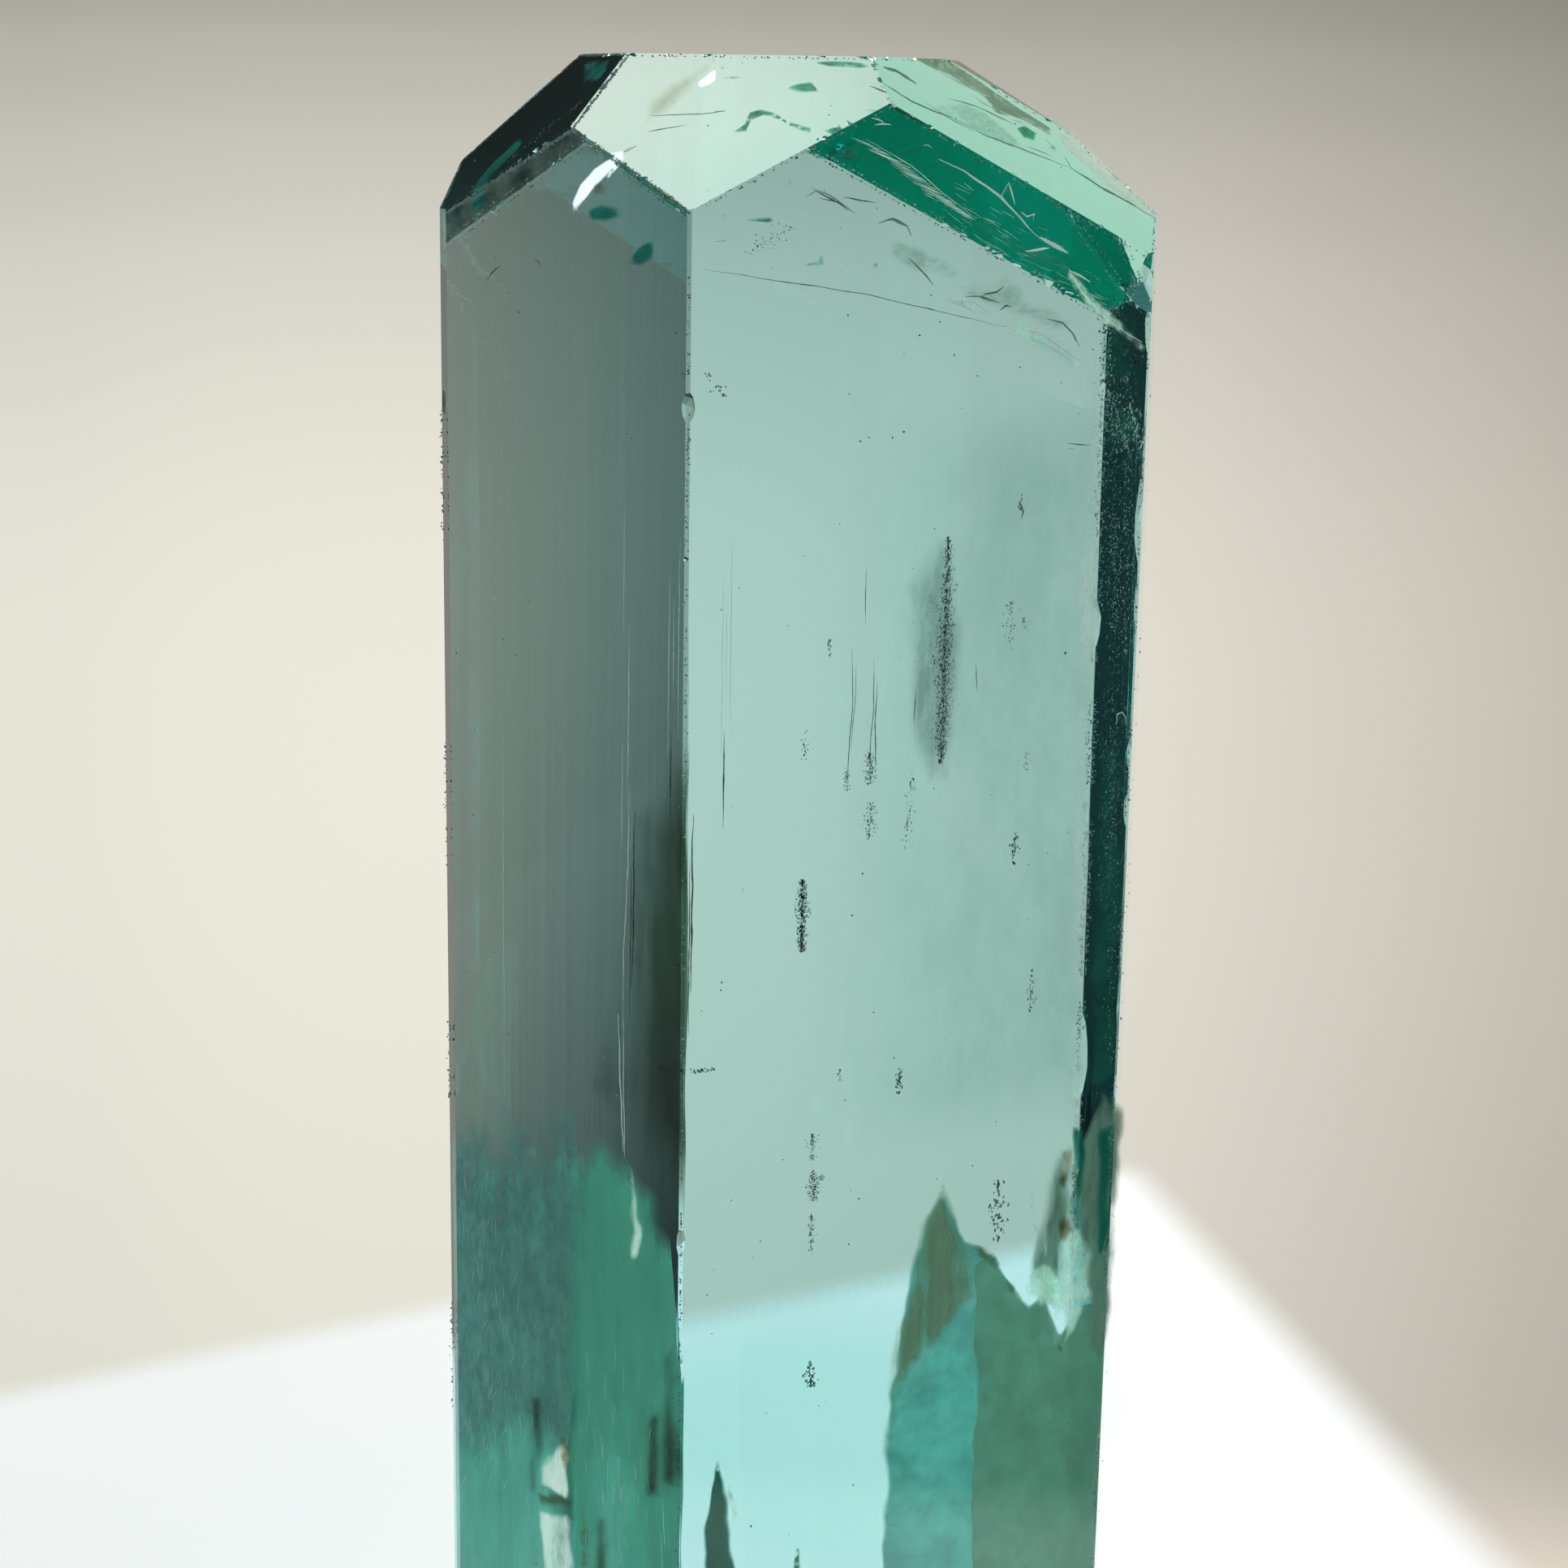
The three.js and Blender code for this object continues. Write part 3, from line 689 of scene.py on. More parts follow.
# fine threads and cracks: face, depth, radius, points across and up the face
strands = {
    "dark": [
        (broad, 2.0, 0.008, [(3.7, 25.6), (3.7, 24.6)]),
        (broad, 2.0, 0.01, [(5.82, 23.8), (5.86, 23.3)]),
        (broad, 2.0, 0.01, [(4.68, 23.4), (4.66, 22.8)]),
        (tip(5), 0.8, 0.012, [(-2.28, -3.97), (-1.43, -3.9), (-1.09, -3.84)]),
        (tip(5), 0.8, 0.02, [(-1.26, -3.86), (-1.09, -3.84)]),
        (tip(5), 0.8, 0.012, [(-2.3, -4.32), (-2.01, -4.24), (-1.66, -4.16)]),
        (broad, 0.8, 0.013, [(2.17, 31.78), (2.34, 31.88), (2.74, 31.69), (3.06, 31.52)]),
        (broad, 0.8, 0.013, [(2.84, 31.79), (3.13, 31.73), (3.42, 31.69)]),
        (broad, 0.8, 0.02, [(5.36, 30.12), (5.42, 30.2), (5.62, 30.24), (5.77, 30.34)]),
        (broad, 0.8, 0.02, [(5.71, 29.94), (5.83, 30.02), (5.93, 29.99)]),
        (broad, 0.8, 0.014, [(0.65, 31.08), (0.81, 31.09)]),
        (broad, 0.8, 0.014, [(1.87, 31.96), (1.9, 32.05)]),
        (frontLeft, 0.3, 0.012, [(0.98, 30.25), (1.14, 30.41), (1.33, 30.53)]),
        (frontLeft, 0.3, 0.01, [(2.08, 30.69), (2.17, 30.64), (2.25, 30.57)]),
        (broad, 1.0, 0.008, [(0.46, 30.64), (3.26, 30.23), (5.9, 29.65)]),
        (broad, 0.4, 0.014, [(6.11, 26.72), (6.16, 26.58), (6.12, 26.45)]),
        (broad, 0.4, 0.012, [(6.95, 27.71), (7.18, 27.68), (7.41, 27.66)]),
        (broad, 0.4, 0.012, [(6.97, 27.63), (7.09, 27.61)]),
        (frontLeft, 2.0, 0.02, [(3.56, 21.4), (3.57, 19.8), (3.54, 18.2)]),
        (frontLeft, 2.0, 0.012, [(3.5, 20.6), (3.5, 19.0), (3.49, 17.4)]),
        (frontLeft, 2.0, 0.014, [(4.36, 22.9), (4.37, 21.9), (4.36, 21.2)]),
    ],
    "grey": [
        (broad, 2.0, 0.012, [(3.47, 24.2), (3.5, 23.3), (3.45, 22.6), (3.43, 21.7)]),
        (broad, 2.0, 0.008, [(3.55, 23.9), (3.54, 23.2), (3.48, 22.4)]),
        (broad, 2.0, 0.012, [(3.88, 24.0), (3.9, 23.2), (3.86, 22.7), (3.84, 21.9)]),
        (broad, 2.0, 0.014, [(3.95, 23.6), (3.93, 22.8), (3.96, 22.0)]),
        (broad, 0.5, 0.03, [(3.39, 31.38), (3.63, 31.42), (3.9, 31.34), (3.96, 31.18)]),
        (broad, 0.5, 0.016, [(2.19, 31.93), (2.51, 31.83), (2.88, 31.6)]),
        (broad, 0.5, 0.014, [(2.34, 31.77), (2.71, 31.7), (2.83, 31.57)]),
        (broad, 0.5, 0.02, [(3.94, 30.82), (4.27, 30.53), (4.39, 30.37)]),
        (broad, 0.5, 0.022, [(4.99, 30.18), (5.26, 30.17), (5.62, 30.09)]),
        (broad, 0.5, 0.02, [(6.5, 29.81), (6.81, 29.73), (7.0, 29.56), (7.14, 29.32)]),
        (tip(0), 0.4, 0.06, [(-2.62, -2.33), (-2.36, -2.43), (-2.05, -2.68)]),
        (tip(0), 0.5, 0.03, [(-2.9, -2.66), (-2.5, -3.08), (-1.64, -3.44)]),
        (tip(0), 0.5, 0.022, [(-1.64, -3.44), (-1.15, -3.8), (0.65, -4.55)]),
        (tip(0), 0.45, 0.018, [(-1.4, -3), (-0.72, -3.18), (0.03, -3.6)]),
        (tip(0), 0.25, 0.035, [(0.61, -4.38), (0.58, -4.64), (1.08, -5.13), (2.02, -5.83)]),
        (tip(0), 0.4, 0.016, [(-2.19, -3.11), (-1.9, -3.43), (-1.43, -3.76)]),
        (tip(0), 0.4, 0.016, [(-0.2, -4.1), (0.07, -4.2), (0.35, -4.32)]),
    ],
    "bright": [
        (broad, 0.5, 0.014, [(4.69, 30.12), (5.14, 30.1), (5.45, 29.9)]),
        (broad, 0.5, 0.02, [(5.9, 29.7), (6.4, 29.55), (6.83, 29.3), (7.25, 29.02)]),
        (broad, 0.5, 0.012, [(6.1, 29.72), (6.6, 29.5), (7.05, 29.24)]),
        (tip(0), 0.08, 0.014, [(-1.26, -2.47), (-1.03, -2.72), (-0.67, -2.93), (-0.33, -3.08)]),
        (tip(0), 0.08, 0.01, [(-1.1, -2.44), (-0.91, -2.66), (-0.6, -2.88)]),
        (tip(0), 0.08, 0.01, [(-0.91, -2.49), (-0.72, -2.79), (-0.41, -2.97)]),
        (tip(0), 0.08, 0.014, [(-0.9, -3.16), (-0.5, -3.34), (-0.09, -3.52), (0.04, -3.68)]),
        (tip(0), 0.08, 0.012, [(0.1, -3.5), (0.36, -3.62), (0.62, -3.9)]),
        (broad, 0.5, 0.022, [(4.43, 32.41), (4.87, 32.22), (5.57, 31.8), (6.34, 31.11)]),
        (broad, 0.5, 0.045, [(6.34, 31.14), (6.61, 31), (6.84, 30.87)]),
        (broad, 0.5, 0.018, [(5.57, 31.8), (5.71, 32.03), (5.83, 31.68)]),
        (broad, 0.5, 0.02, [(5.95, 31.55), (6.06, 31.48), (6.21, 31.53), (6.18, 31.44)]),
        (broad, 0.4, 0.02, [(3.2, 33.04), (3.3, 33.02), (3.39, 32.98)]),
        (broad, 0.4, 0.02, [(3.24, 32.92), (3.38, 32.94), (3.54, 32.93)]),
        (broad, 0.4, 0.014, [(4.12, 32.61), (4.19, 32.63), (4.27, 32.58)]),
        (broad, 0.4, 0.03, [(6.02, 30.92), (6.23, 30.94), (6.46, 30.97)]),
        (broad, 0.6, 0.022, [(6.91, 30.6), (7.17, 30.23), (7.72, 29.73), (8.35, 29.38)]),
        (broad, 0.5, 0.025, [(6.9, 30.59), (7.08, 30.51), (7.29, 30.4)]),
        (broad, 1.0, 0.03, [(4.79, 30.13), (5.01, 30.04), (5.24, 29.93)]),
        (broad, 1.0, 0.03, [(5.9, 29.65), (6.6, 29.36), (7.2, 29.03)]),
        (broad, 1.0, 0.03, [(6.05, 29.68), (6.36, 29.56), (6.67, 29.4)]),
        (frontLeft, 1.0, 0.03, [(3.65, 32.25), (3.5, 32.14), (3.34, 32.03)]),
        (frontLeft, 1.0, 0.025, [(2.64, 31.63), (2.67, 31.53), (2.73, 31.44)]),
        (frontLeft, 1.0, 0.02, [(2.73, 31.6), (2.8, 31.68), (2.88, 31.76)]),
        (frontLeft, 0.2, 0.012, [(1.13, 31.42), (1.22, 31.4), (1.31, 31.33)]),
        (tip(0), 0.3, 0.02, [(-1.25, -2.42), (-0.83, -2.65), (-0.29, -2.82)]),
        (tip(0), 0.3, 0.015, [(-1.02, -2.52), (-0.83, -2.65), (-0.64, -2.81)]),
        (tip(0), 0.3, 0.02, [(-0.74, -2.96), (-0.52, -3.18), (-0.29, -3.38)]),
        (tip(0), 0.3, 0.02, [(-0.07, -3.51), (0.09, -3.55), (0.22, -3.64)]),
        (tip(0), 0.3, 0.025, [(0.49, -3.96), (0.52, -4.05), (0.57, -4.12)]),
        (tip(5), 0.3, 0.03, [(-1.39, -2.83), (-1.34, -3)]),
        (frontLeft, 2.0, 0.008, [(3.43, 24.6), (3.42, 23.0), (3.41, 21.4)]),
        (frontLeft, 2.0, 0.01, [(3.45, 21.8), (3.42, 20.2), (3.34, 18.8), (3.33, 17.4)]),
        (frontLeft, 2.0, 0.006, [(3.29, 22.6), (3.28, 20.6)]),
        (frontLeft, 2.0, 0.007, [(4.31, 25.6), (4.3, 24.2), (4.3, 22.4)]),
        (frontLeft, 2.0, 0.006, [(4.4, 25.2), (4.4, 23.4)]),
        (frontLeft, 2.0, 0.007, [(4.52, 26.2), (4.51, 24.6), (4.52, 22.8)]),
        (frontLeft, 2.0, 0.005, [(3.3, 26.6), (3.3, 24.4)]),
        (frontLeft, 1.4, 0.006, [(0.8, 22.4), (0.79, 19.6), (0.79, 15.6)]),
        (frontLeft, 0.4, 0.018, [(3.94, 17.99), (3.98, 16.83), (4.06, 15.51)]),
        (frontLeft, 0.4, 0.012, [(4.05, 17.94), (4.05, 16.84), (4.1, 15.44)]),
        (frontLeft, 0.4, 0.014, [(3.99, 11.66), (4.08, 11.26), (4.24, 10.92)]),
        (frontLeft, 0.3, 0.012, [(4.89, 10.28), (4.86, 9.19), (4.87, 7.9), (4.88, 5.0)]),
        (frontLeft, 0.3, 0.012, [(5.04, 10.18), (4.99, 9.23), (4.98, 7.94), (4.99, 5.2)]),
        (broad, 0.3, 0.012, [(8.09, 22.77), (8.11, 22.95), (8.21, 22.98), (8.28, 22.87), (8.27, 22.75)]),
        (broad, 0.3, 0.012, [(8.33, 22.11), (8.38, 21.99), (8.44, 21.95)]),
        (broad, 0.3, 0.012, [(8.32, 21.33), (8.33, 21.18)]),
        (broad, 0.3, 0.01, [(8.16, 24.6), (8.2, 24.46)]),
        (broad, 0.25, 0.012, [(8.42, 27.9), (8.3, 27.55)]),
        (broad, 0.25, 0.012, [(8.43, 27.2), (8.36, 26.9)]),
        (broad, 0.25, 0.01, [(8.42, 26.3), (8.38, 25.9)]),
        (broad, 0.25, 0.01, [(8.4, 25.3), (8.36, 25.0)]),
    ],
}


def strandPiece(name, entries, material):
    bm = bmesh.new()
    for k, (face, depth, radius, points) in enumerate(entries):
        addStrand(bm, [onFace(face, u, v, depth) for u, v in points], radius, k + 1, min(0.02, radius * 0.6))
    return finishPiece(name, bm, material)


darkLine = grainMaterial("darkCrack", (0.04, 0.075, 0.06, 1), (0.16, 0.2, 0.17, 1), 0.3, 0.7)
greyLine = grainMaterial("greyCrack", (0.1, 0.2, 0.15, 1), (0.25, 0.34, 0.26, 1), 0.4, 0.5)
# white cracks that give off a painted glow of their pale colour
brightLine = grainMaterial("brightCrack", (0.75, 0.95, 0.88, 1), (0.9, 1.0, 0.95, 1), 0.5, 1.0, 0.25)
strandPiece("darkCracks", strands["dark"], darkLine)
strandPiece("greyCracks", strands["grey"], greyLine)
strandPiece("brightCracks", strands["bright"], brightLine)


def alongLine(line, low):
    # the point so many sections along a line of points
    i = min(int(low), len(line) - 2)
    (u0, v0), (u1, v1) = line[i], line[i + 1]
    return u0 + (u1 - u0) * (low - i), v0 + (v1 - v0) * (low - i)


# the feather in the green band: short fine barbs off one ridge
feather = {
    "ridge": [(3.14, 32.7), (3.95, 32.3), (4.54, 31.85), (5.14, 31.45)], "barbs": 46, "reach": 0.6,
    "depth": 0.5,
    "ridgeRadius": 0.007, "ridgeWobble": 0.01, "barbRadius": (0.003, 0.008), "wobble": 0.004, "sides": 4,
    # where a barb starts and ends beside the ridge, as shares of its reach
    "start": (-0.8, 0.12), "end": (0.1, -0.18), "seed": 5, "firstNoise": 50, "ridgeNoise": 40,
}
rng = random.Random(feather["seed"])
bm = bmesh.new()
depth = feather["depth"]
ridge = [onFace(broad, u, v, depth) for u, v in feather["ridge"]]
addStrand(bm, ridge, feather["ridgeRadius"], feather["ridgeNoise"], feather["ridgeWobble"])
for k in range(feather["barbs"]):
    t = (k + rng.random()) / feather["barbs"]
    u, v = alongLine(feather["ridge"], t * (len(feather["ridge"]) - 1))
    reach = feather["reach"] * (0.35 + 0.65 * math.sin(math.pi * (0.15 + 0.8 * t))) * rng.uniform(0.6, 1)
    (startU, startV), (endU, endV) = feather["start"], feather["end"]
    start = onFace(broad, u + reach * startU, v + reach * startV, depth + rng.uniform(-0.1, 0.1))
    end = onFace(broad, u + reach * endU, v + reach * endV, depth)
    addStrand(bm, [start, end], rng.uniform(*feather["barbRadius"]), feather["firstNoise"] + k,
              feather["wobble"],
              feather["sides"])
finishPiece("feather", bm, brightLine)

# short bright strokes scattered along a line: under the top edge, and scratches low on the left
strokes = {
    "seed": 12, "firstNoise": 200, "wobble": 0.004, "sides": 4, "leftBounds": (0.1, 5.35),
    "runs": [
        {"face": broad, "depth": 0.4, "line": [(4.1, 31.75), (5.37, 31.15), (6.44, 30.6), (7.5, 29.95)],
         "count": 110,
         "spread": (0.1, 0.24), "length": (0.08, 0.34), "lean": (-0.62, -0.3), "width": (0.002, 0.005)},
        {"face": broad, "depth": 0.4, "line": [(7.85, 28.6), (8.1, 24.0), (8.15, 20.0)], "count": 260,
         "spread": (0.17, 0.7), "length": (0.03, 0.13), "lean": (-2.6, -1.0), "width": (0.002, 0.0045)},
        {"face": broad, "depth": 0.4, "line": [(8.1, 28.6), (8.3, 25.5)], "count": 90,
         "spread": (0.1, 0.5), "length": (0.02, 0.14), "lean": (-2.5, -0.8), "width": (0.002, 0.006)},
        {"face": frontLeft, "depth": 0.06, "line": [(0.8, 14.0), (1.1, 12.0), (1.2, 10.2), (0.9, 9.0)],
         "count": 260,
         "spread": (0.5, 0.5), "length": (0.08, 0.4), "lean": (-2.2, -1.2), "width": (0.001, 0.0035)},
        {"face": frontLeft, "depth": 0.06, "line": [(3.6, 12.0), (4.3, 9.0), (4.2, 6.0)], "count": 70,
         "spread": (0.5, 0.6), "length": (0.15, 0.7), "lean": (-1.7, -1.35), "width": (0.001, 0.004)},
        {"face": frontLeft, "depth": 0.06, "line": [(5.22, 8.9), (5.2, 6.0)], "count": 14,
         "spread": (0.1, 0.3), "length": (0.5, 1.4), "lean": (-1.62, -1.5), "width": (0.003, 0.007)},
    ],
}
rng = random.Random(strokes["seed"])
bm = bmesh.new()
for run in strokes["runs"]:
    for k in range(run["count"]):
        u, v = alongLine(run["line"], rng.random() * (len(run["line"]) - 1))
        u, v = u + rng.gauss(0, run["spread"][0]), v + rng.gauss(0, run["spread"][1])
        long, lean = rng.uniform(*run["length"]), rng.uniform(*run["lean"])
        if run["face"] is frontLeft:
            u = min(max(u, strokes["leftBounds"][0]), strokes["leftBounds"][1])
        ends = [onFace(run["face"], u, v, run["depth"]),
                onFace(run["face"], u + long * math.cos(lean), v + long * math.sin(lean), run["depth"])]
        addStrand(bm, ends, rng.uniform(*run["width"]), strokes["firstNoise"] + k, strokes["wobble"],
                  strokes["sides"])
finishPiece("strokes", bm, brightLine)

# thin films and healed fractures, and a few sheets of painted shade and painted light on the left face: how
# each looks, how it is meshed, and its sheets as face, depth, outline and the sides of the outline that are
# held firm. tint and cloud each hold two colours that a noise mixes; where a glow strength is given, the
# cloud gives off a painted glow of its pale colour
films = {
    "wisps": {
        "tint": ((0.42, 0.8, 0.66), (0.6, 0.9, 0.8)), "cloud": ((0.2, 0.5, 0.4), (0.1, 0.4, 0.3)),
        "share": (0.1, 0.5), "scale": 2.0, "soft": 0.05, "grain": 0.08, "jag": 0.012, "wave": 0.02,
        "sheets": [
            (broad, 1.2, [(0.73, 31.55), (1.01, 31.46), (1.95, 31.46), (1.63, 31.36), (0.87, 31.42)]),
            (broad, 1.6, [(2.21, 30.66), (2.6, 30.76), (2.68, 30.92), (2.75, 30.65)]),
            (broad, 1.6, [(3.43, 30.85), (3.7, 30.67), (4.07, 30.55), (3.6, 30.6)]),
            (tip(5), 1.2, [(-0.96, -4.1), (-0.78, -3.92), (-0.71, -3.63), (-0.55, -3.57), (-0.33, -3.64),
             (-0.08, -3.81), (0.33, -3.96), (0.35, -4.12), (0.07, -3.99), (-0.22, -3.8), (-0.49, -3.73),
             (-0.66, -3.83), (-0.73, -4.08)]),
            (tip(5), 0.8, [(-0.21, -3.33), (0, -3.18), (0.26, -3.13), (0.44, -3.37), (0.15, -3.39)]),
            (tip(5), 0.4, [(-1.27, -3.31), (-1.01, -3.23), (-0.69, -3.21), (-0.97, -3.32)]),
            (tip(5), 0.4, [(-1.27, -3.07), (-1.13, -2.87), (-1.16, -3.11)]),
            (tip(5), 1.0, [(0.48, -4.08), (0.81, -4.01), (1.02, -4.19), (0.76, -4.25)]),
            (tip(5), 0.5, [(0.24, -2.84), (0.84, -2.79), (1.38, -2.89), (1.05, -2.97), (0.52, -2.95)]),
            (tip(0), 0.4, [(-0.09, -3.68), (0.23, -3.61), (0.45, -3.8), (0.18, -4), (-0.07, -3.91)]),
        ],
    },
    # fracture films near the tip, white-blue, with a strong painted glint glowing from them
    "paintedGlints": {
        "tint": ((0.8, 0.9, 1), (0.9, 0.95, 1)), "cloud": ((0.9, 0.97, 1), (0.75, 0.9, 1)),
        "share": (0.6, 1.0), "scale": 1.5, "soft": 0.05, "paintedGlow": 0.9, "grain": 0.07, "jag": 0.015,
        "wave": 0.02,
        "sheets": [
            (frontLeft, 0.3, [(3.92, 32.42), (3.37, 32.17), (3.1, 31.92), (2.92, 31.61), (2.96, 31.42),
             (3.12, 31.6), (3.36, 31.85), (3.9, 32.24)]),
            (frontLeft, 0.3, [(4.04, 32.34), (3.92, 32.2), (3.75, 32.05), (3.6, 31.95), (3.7, 32.12),
             (3.88, 32.28)]),
            (tip(5), 0.3, [(-1.55, -3.42), (-1.27, -3.11), (-1.27, -3.42), (-1.56, -3.62)]),
        ],
    },
    "whiteFrost": {
        "tint": ((0.9, 1, 0.96), (1, 1, 1)), "cloud": ((0.85, 1, 0.95), (0.25, 0.5, 0.42)),
        "share": (0.0, 0.9), "scale": 2.0, "soft": 0.2, "stretch": (1, 1, 0.25), "detail": 6.0,
        "paintedGlow": 0.5, "grain": 0.08, "jag": 0.07, "wave": 0.04,
        "sheets": [
            (frontLeft, 0.1, [(2.22, 9.15), (2.5, 9.56), (2.84, 9.7), (2.97, 9.39), (2.8, 8.6),
             (2.25, 8.6)]),
            (frontLeft, 0.1, [(2.2, 8.2), (2.93, 8.36), (3.09, 7.31), (3.0, 5.8), (2.5, 4.6), (2.25, 5.6)]),
            (frontLeft, 0.1, [(4.3, 15.43), (4.41, 15.57), (4.55, 14.33), (4.52, 13.8), (4.41, 13.54),
             (4.31, 13.97)]),
        ],
    },
    "rustSpots": {
        "tint": ((0.75, 0.62, 0.45), (0.92, 0.86, 0.74)), "cloud": ((0.45, 0.33, 0.18), (0.26, 0.18, 0.08)),
        "share": (0.0, 0.5), "scale": 2.2, "soft": 0.16, "detail": 6.0, "grain": 0.1, "jag": 0.05,
        "wave": 0.03,
        "sheets": [
            (frontLeft, 1.1, [(2.89, 31.92), (3.2, 32.02), (3.31, 31.8), (3.0, 31.7)]),
            (tip(0), 0.3, [(0.4, -4.16), (0.64, -4.11), (0.69, -4.27), (0.47, -4.38), (0.35, -4.31)]),
            (broad, 0.6, [(5.68, 13.35), (6.21, 13.08), (6.35, 12.82), (6.19, 12.72), (5.76, 13.06)]),
            (broad, 0.6, [(6.42, 12.62), (6.63, 12.46), (6.7, 12.23), (6.57, 12.16), (6.43, 12.37)]),
            (broad, 0.55, [(7.44, 11.26), (7.57, 11.27), (7.62, 10.91), (7.52, 10.83)]),
            (broad, 0.5, [(7.37, 14.89), (7.65, 14.98), (7.7, 14.54), (7.59, 14.08), (7.41, 14.26)]),
            (broad, 0.5, [(7.41, 13.64), (7.64, 13.68), (7.76, 13.27), (7.6, 13.01), (7.41, 13.2)]),
            (broad, 0.85, [(1.12, 9.88), (1.24, 9.3), (1.3, 8.6), (1.22, 8.3), (1.1, 9.1)]),
            (frontLeft, 0.07, [(2.72, 9.83), (2.86, 9.97), (2.95, 9.63), (2.91, 9.19), (2.8, 9.1),
             (2.72, 9.4)]),
            (frontLeft, 0.07, [(2.1, 8.5), (2.52, 8.66), (3.08, 8.7), (3.05, 8.52), (2.71, 8.4),
             (2.15, 8.24)]),
            (frontLeft, 0.07, [(3.22, 8.68), (3.37, 8.81), (3.43, 8.27), (3.38, 7.42), (3.14, 7.34),
             (3.18, 8.19)]),
            (frontLeft, 0.25, [(4.46, 14.59), (4.54, 14.38), (4.51, 14), (4.43, 14.13)]),
        ],
    },
    "smear": {
        "tint": ((0.8, 0.76, 0.66), (0.94, 0.93, 0.87)), "cloud": ((0.5, 0.48, 0.38), (0.32, 0.28, 0.2)),
        "share": (0.0, 0.12), "scale": 1.1, "soft": 0.4, "grain": 0.1, "jag": 0.05, "wave": 0.03,
        "sheets": [
            (tip(5), 0.6, [(-1.45, -2.8), (-2.12, -3.3), (-2.4, -3.73), (-2.46, -4.2), (-2.3, -4.5),
             (-1.86, -3.79), (-1.36, -3.05)]),
        ],
    },
    "hazes": {
        "tint": ((0.88, 0.94, 0.9), (0.98, 1, 0.99)), "cloud": ((0.95, 1, 0.97), (0.4, 0.52, 0.44)),
        "share": (0.0, 0.22), "scale": 1.8, "soft": 0.22, "stretch": (1, 1, 2.5), "detail": 5.0,
        "grain": 0.12, "jag": 0.06, "wave": 0.04,
        "sheets": [
            (broad, 0.55, [(4.86, 31.64), (5.77, 31.18), (6.89, 30.75), (7.09, 30.44), (6.01, 30.75),
             (5.02, 31.38)]),
            (tip(0), 0.45, [(-2.23, -3.17), (-1.14, -3.01), (-0.59, -3.23), (-0.05, -4.33), (-0.59, -4.18),
             (-1.72, -3.6)]),
            (broad, 0.5, [(3.07, 31.05), (3.78, 31.18), (4.97, 30.65), (4.83, 30.39), (4.09, 30.53)]),
            (broad, 0.5, [(4.83, 30.39), (5.72, 30.52), (7.12, 29.7), (6.67, 29.57), (4.99, 30.1)]),
            (broad, 0.3, [(8.1, 30.57), (8.28, 30.67), (8.53, 29.96), (8.15, 30.17)]),
        ],
    },
    "oliveRim": {
        "tint": ((0.85, 0.86, 0.78), (0.93, 0.93, 0.86)), "cloud": ((0.75, 0.95, 0.7), (0.42, 0.58, 0.42)),
        "share": (0.15, 0.65), "scale": 1.8, "soft": 0.1, "detail": 5.0, "grain": 0.1, "jag": 0.03,
        "wave": 0.02,
        "sheets": [
            (tip(0), 0.12, [(-1.8, -2.2), (-0.78, -2.2), (0.24, -3.27), (0.81, -3.79), (0.57, -3.92),
             (-0.11, -3.51), (-0.59, -3.4), (-0.54, -3.07), (-0.93, -2.68)], 0, 1, 2),
        ],
    },
    "paleRim": {
        "tint": ((0.97, 0.98, 0.95), (1, 1, 1)), "cloud": ((0.92, 1, 0.9), (0.66, 0.8, 0.68)),
        "share": (0.2, 0.7), "scale": 0.8, "soft": 0.12, "paintedGlow": 0.3, "grain": 0.1, "jag": 0.02,
        "wave": 0.02,
        "sheets": [
            (tip(0), 0.12, [(0.88, -3.77), (1.38, -4.03), (1.79, -5.01), (2.08, -5.7), (1.88, -5.95),
             (1.19, -5.26), (0.73, -4.25)], 0, 1, 2),
        ],
    },
    "halo": {
        "tint": ((0.8, 0.86, 0.82), (1, 1, 1)), "cloud": ((0.64, 0.97, 0.83), (0.46, 0.76, 0.64)),
        "share": (0.0, 0.34), "scale": 1.2, "soft": 0.6, "stretch": (1, 1, 0.3), "detail": 5.0,
        "grain": 0.14, "jag": 0.03, "wave": 0.03,
        "sheets": [
            (broad, 2.7, [(4.6, 25.2), (5.2, 26.1), (5.6, 26.0), (5.85, 24.0), (5.6, 21.6), (5.1, 21.5),
             (4.7, 22.4)]),
        ],
    },
    "paleEdge": {
        "tint": ((0.97, 1, 0.99), (1, 1, 1)), "cloud": ((0.8, 1, 0.93), (0.5, 0.78, 0.68)),
        "share": (0.05, 0.5), "scale": 1.4, "soft": 0.32, "stretch": (1, 1, 0.4), "detail": 5.0,
        "paintedGlow": 0.34, "grain": 0.12, "jag": 0.03, "wave": 0.02,
        "sheets": [
            (broad, 0.4, [(7.2, 29.0), (7.6, 29.2), (7.66, 24), (7.7, 18), (7.76, 14.4), (7.4, 14.4),
             (7.3, 18), (7.22, 24)], 1, 2, 3),
        ],
    },
    "mintBits": {
        "tint": ((0.85, 0.97, 0.92), (1, 1, 1)), "cloud": ((0.7, 1, 0.88), (0.3, 0.75, 0.6)),
        "share": (0.05, 0.75), "scale": 2.0, "soft": 0.16, "stretch": (1, 1, 0.5), "detail": 5.0,
        "paintedGlow": 0.4, "grain": 0.1, "jag": 0.05, "wave": 0.02,
        "sheets": [
            (broad, 0.5, [(4.69, 30.15), (5.14, 30.12), (5.47, 29.94), (5.37, 29.8)]),
            (broad, 0.5, [(5.9, 29.79), (6.36, 29.65), (7.27, 29.1), (7.16, 28.83), (5.88, 29.5)]),
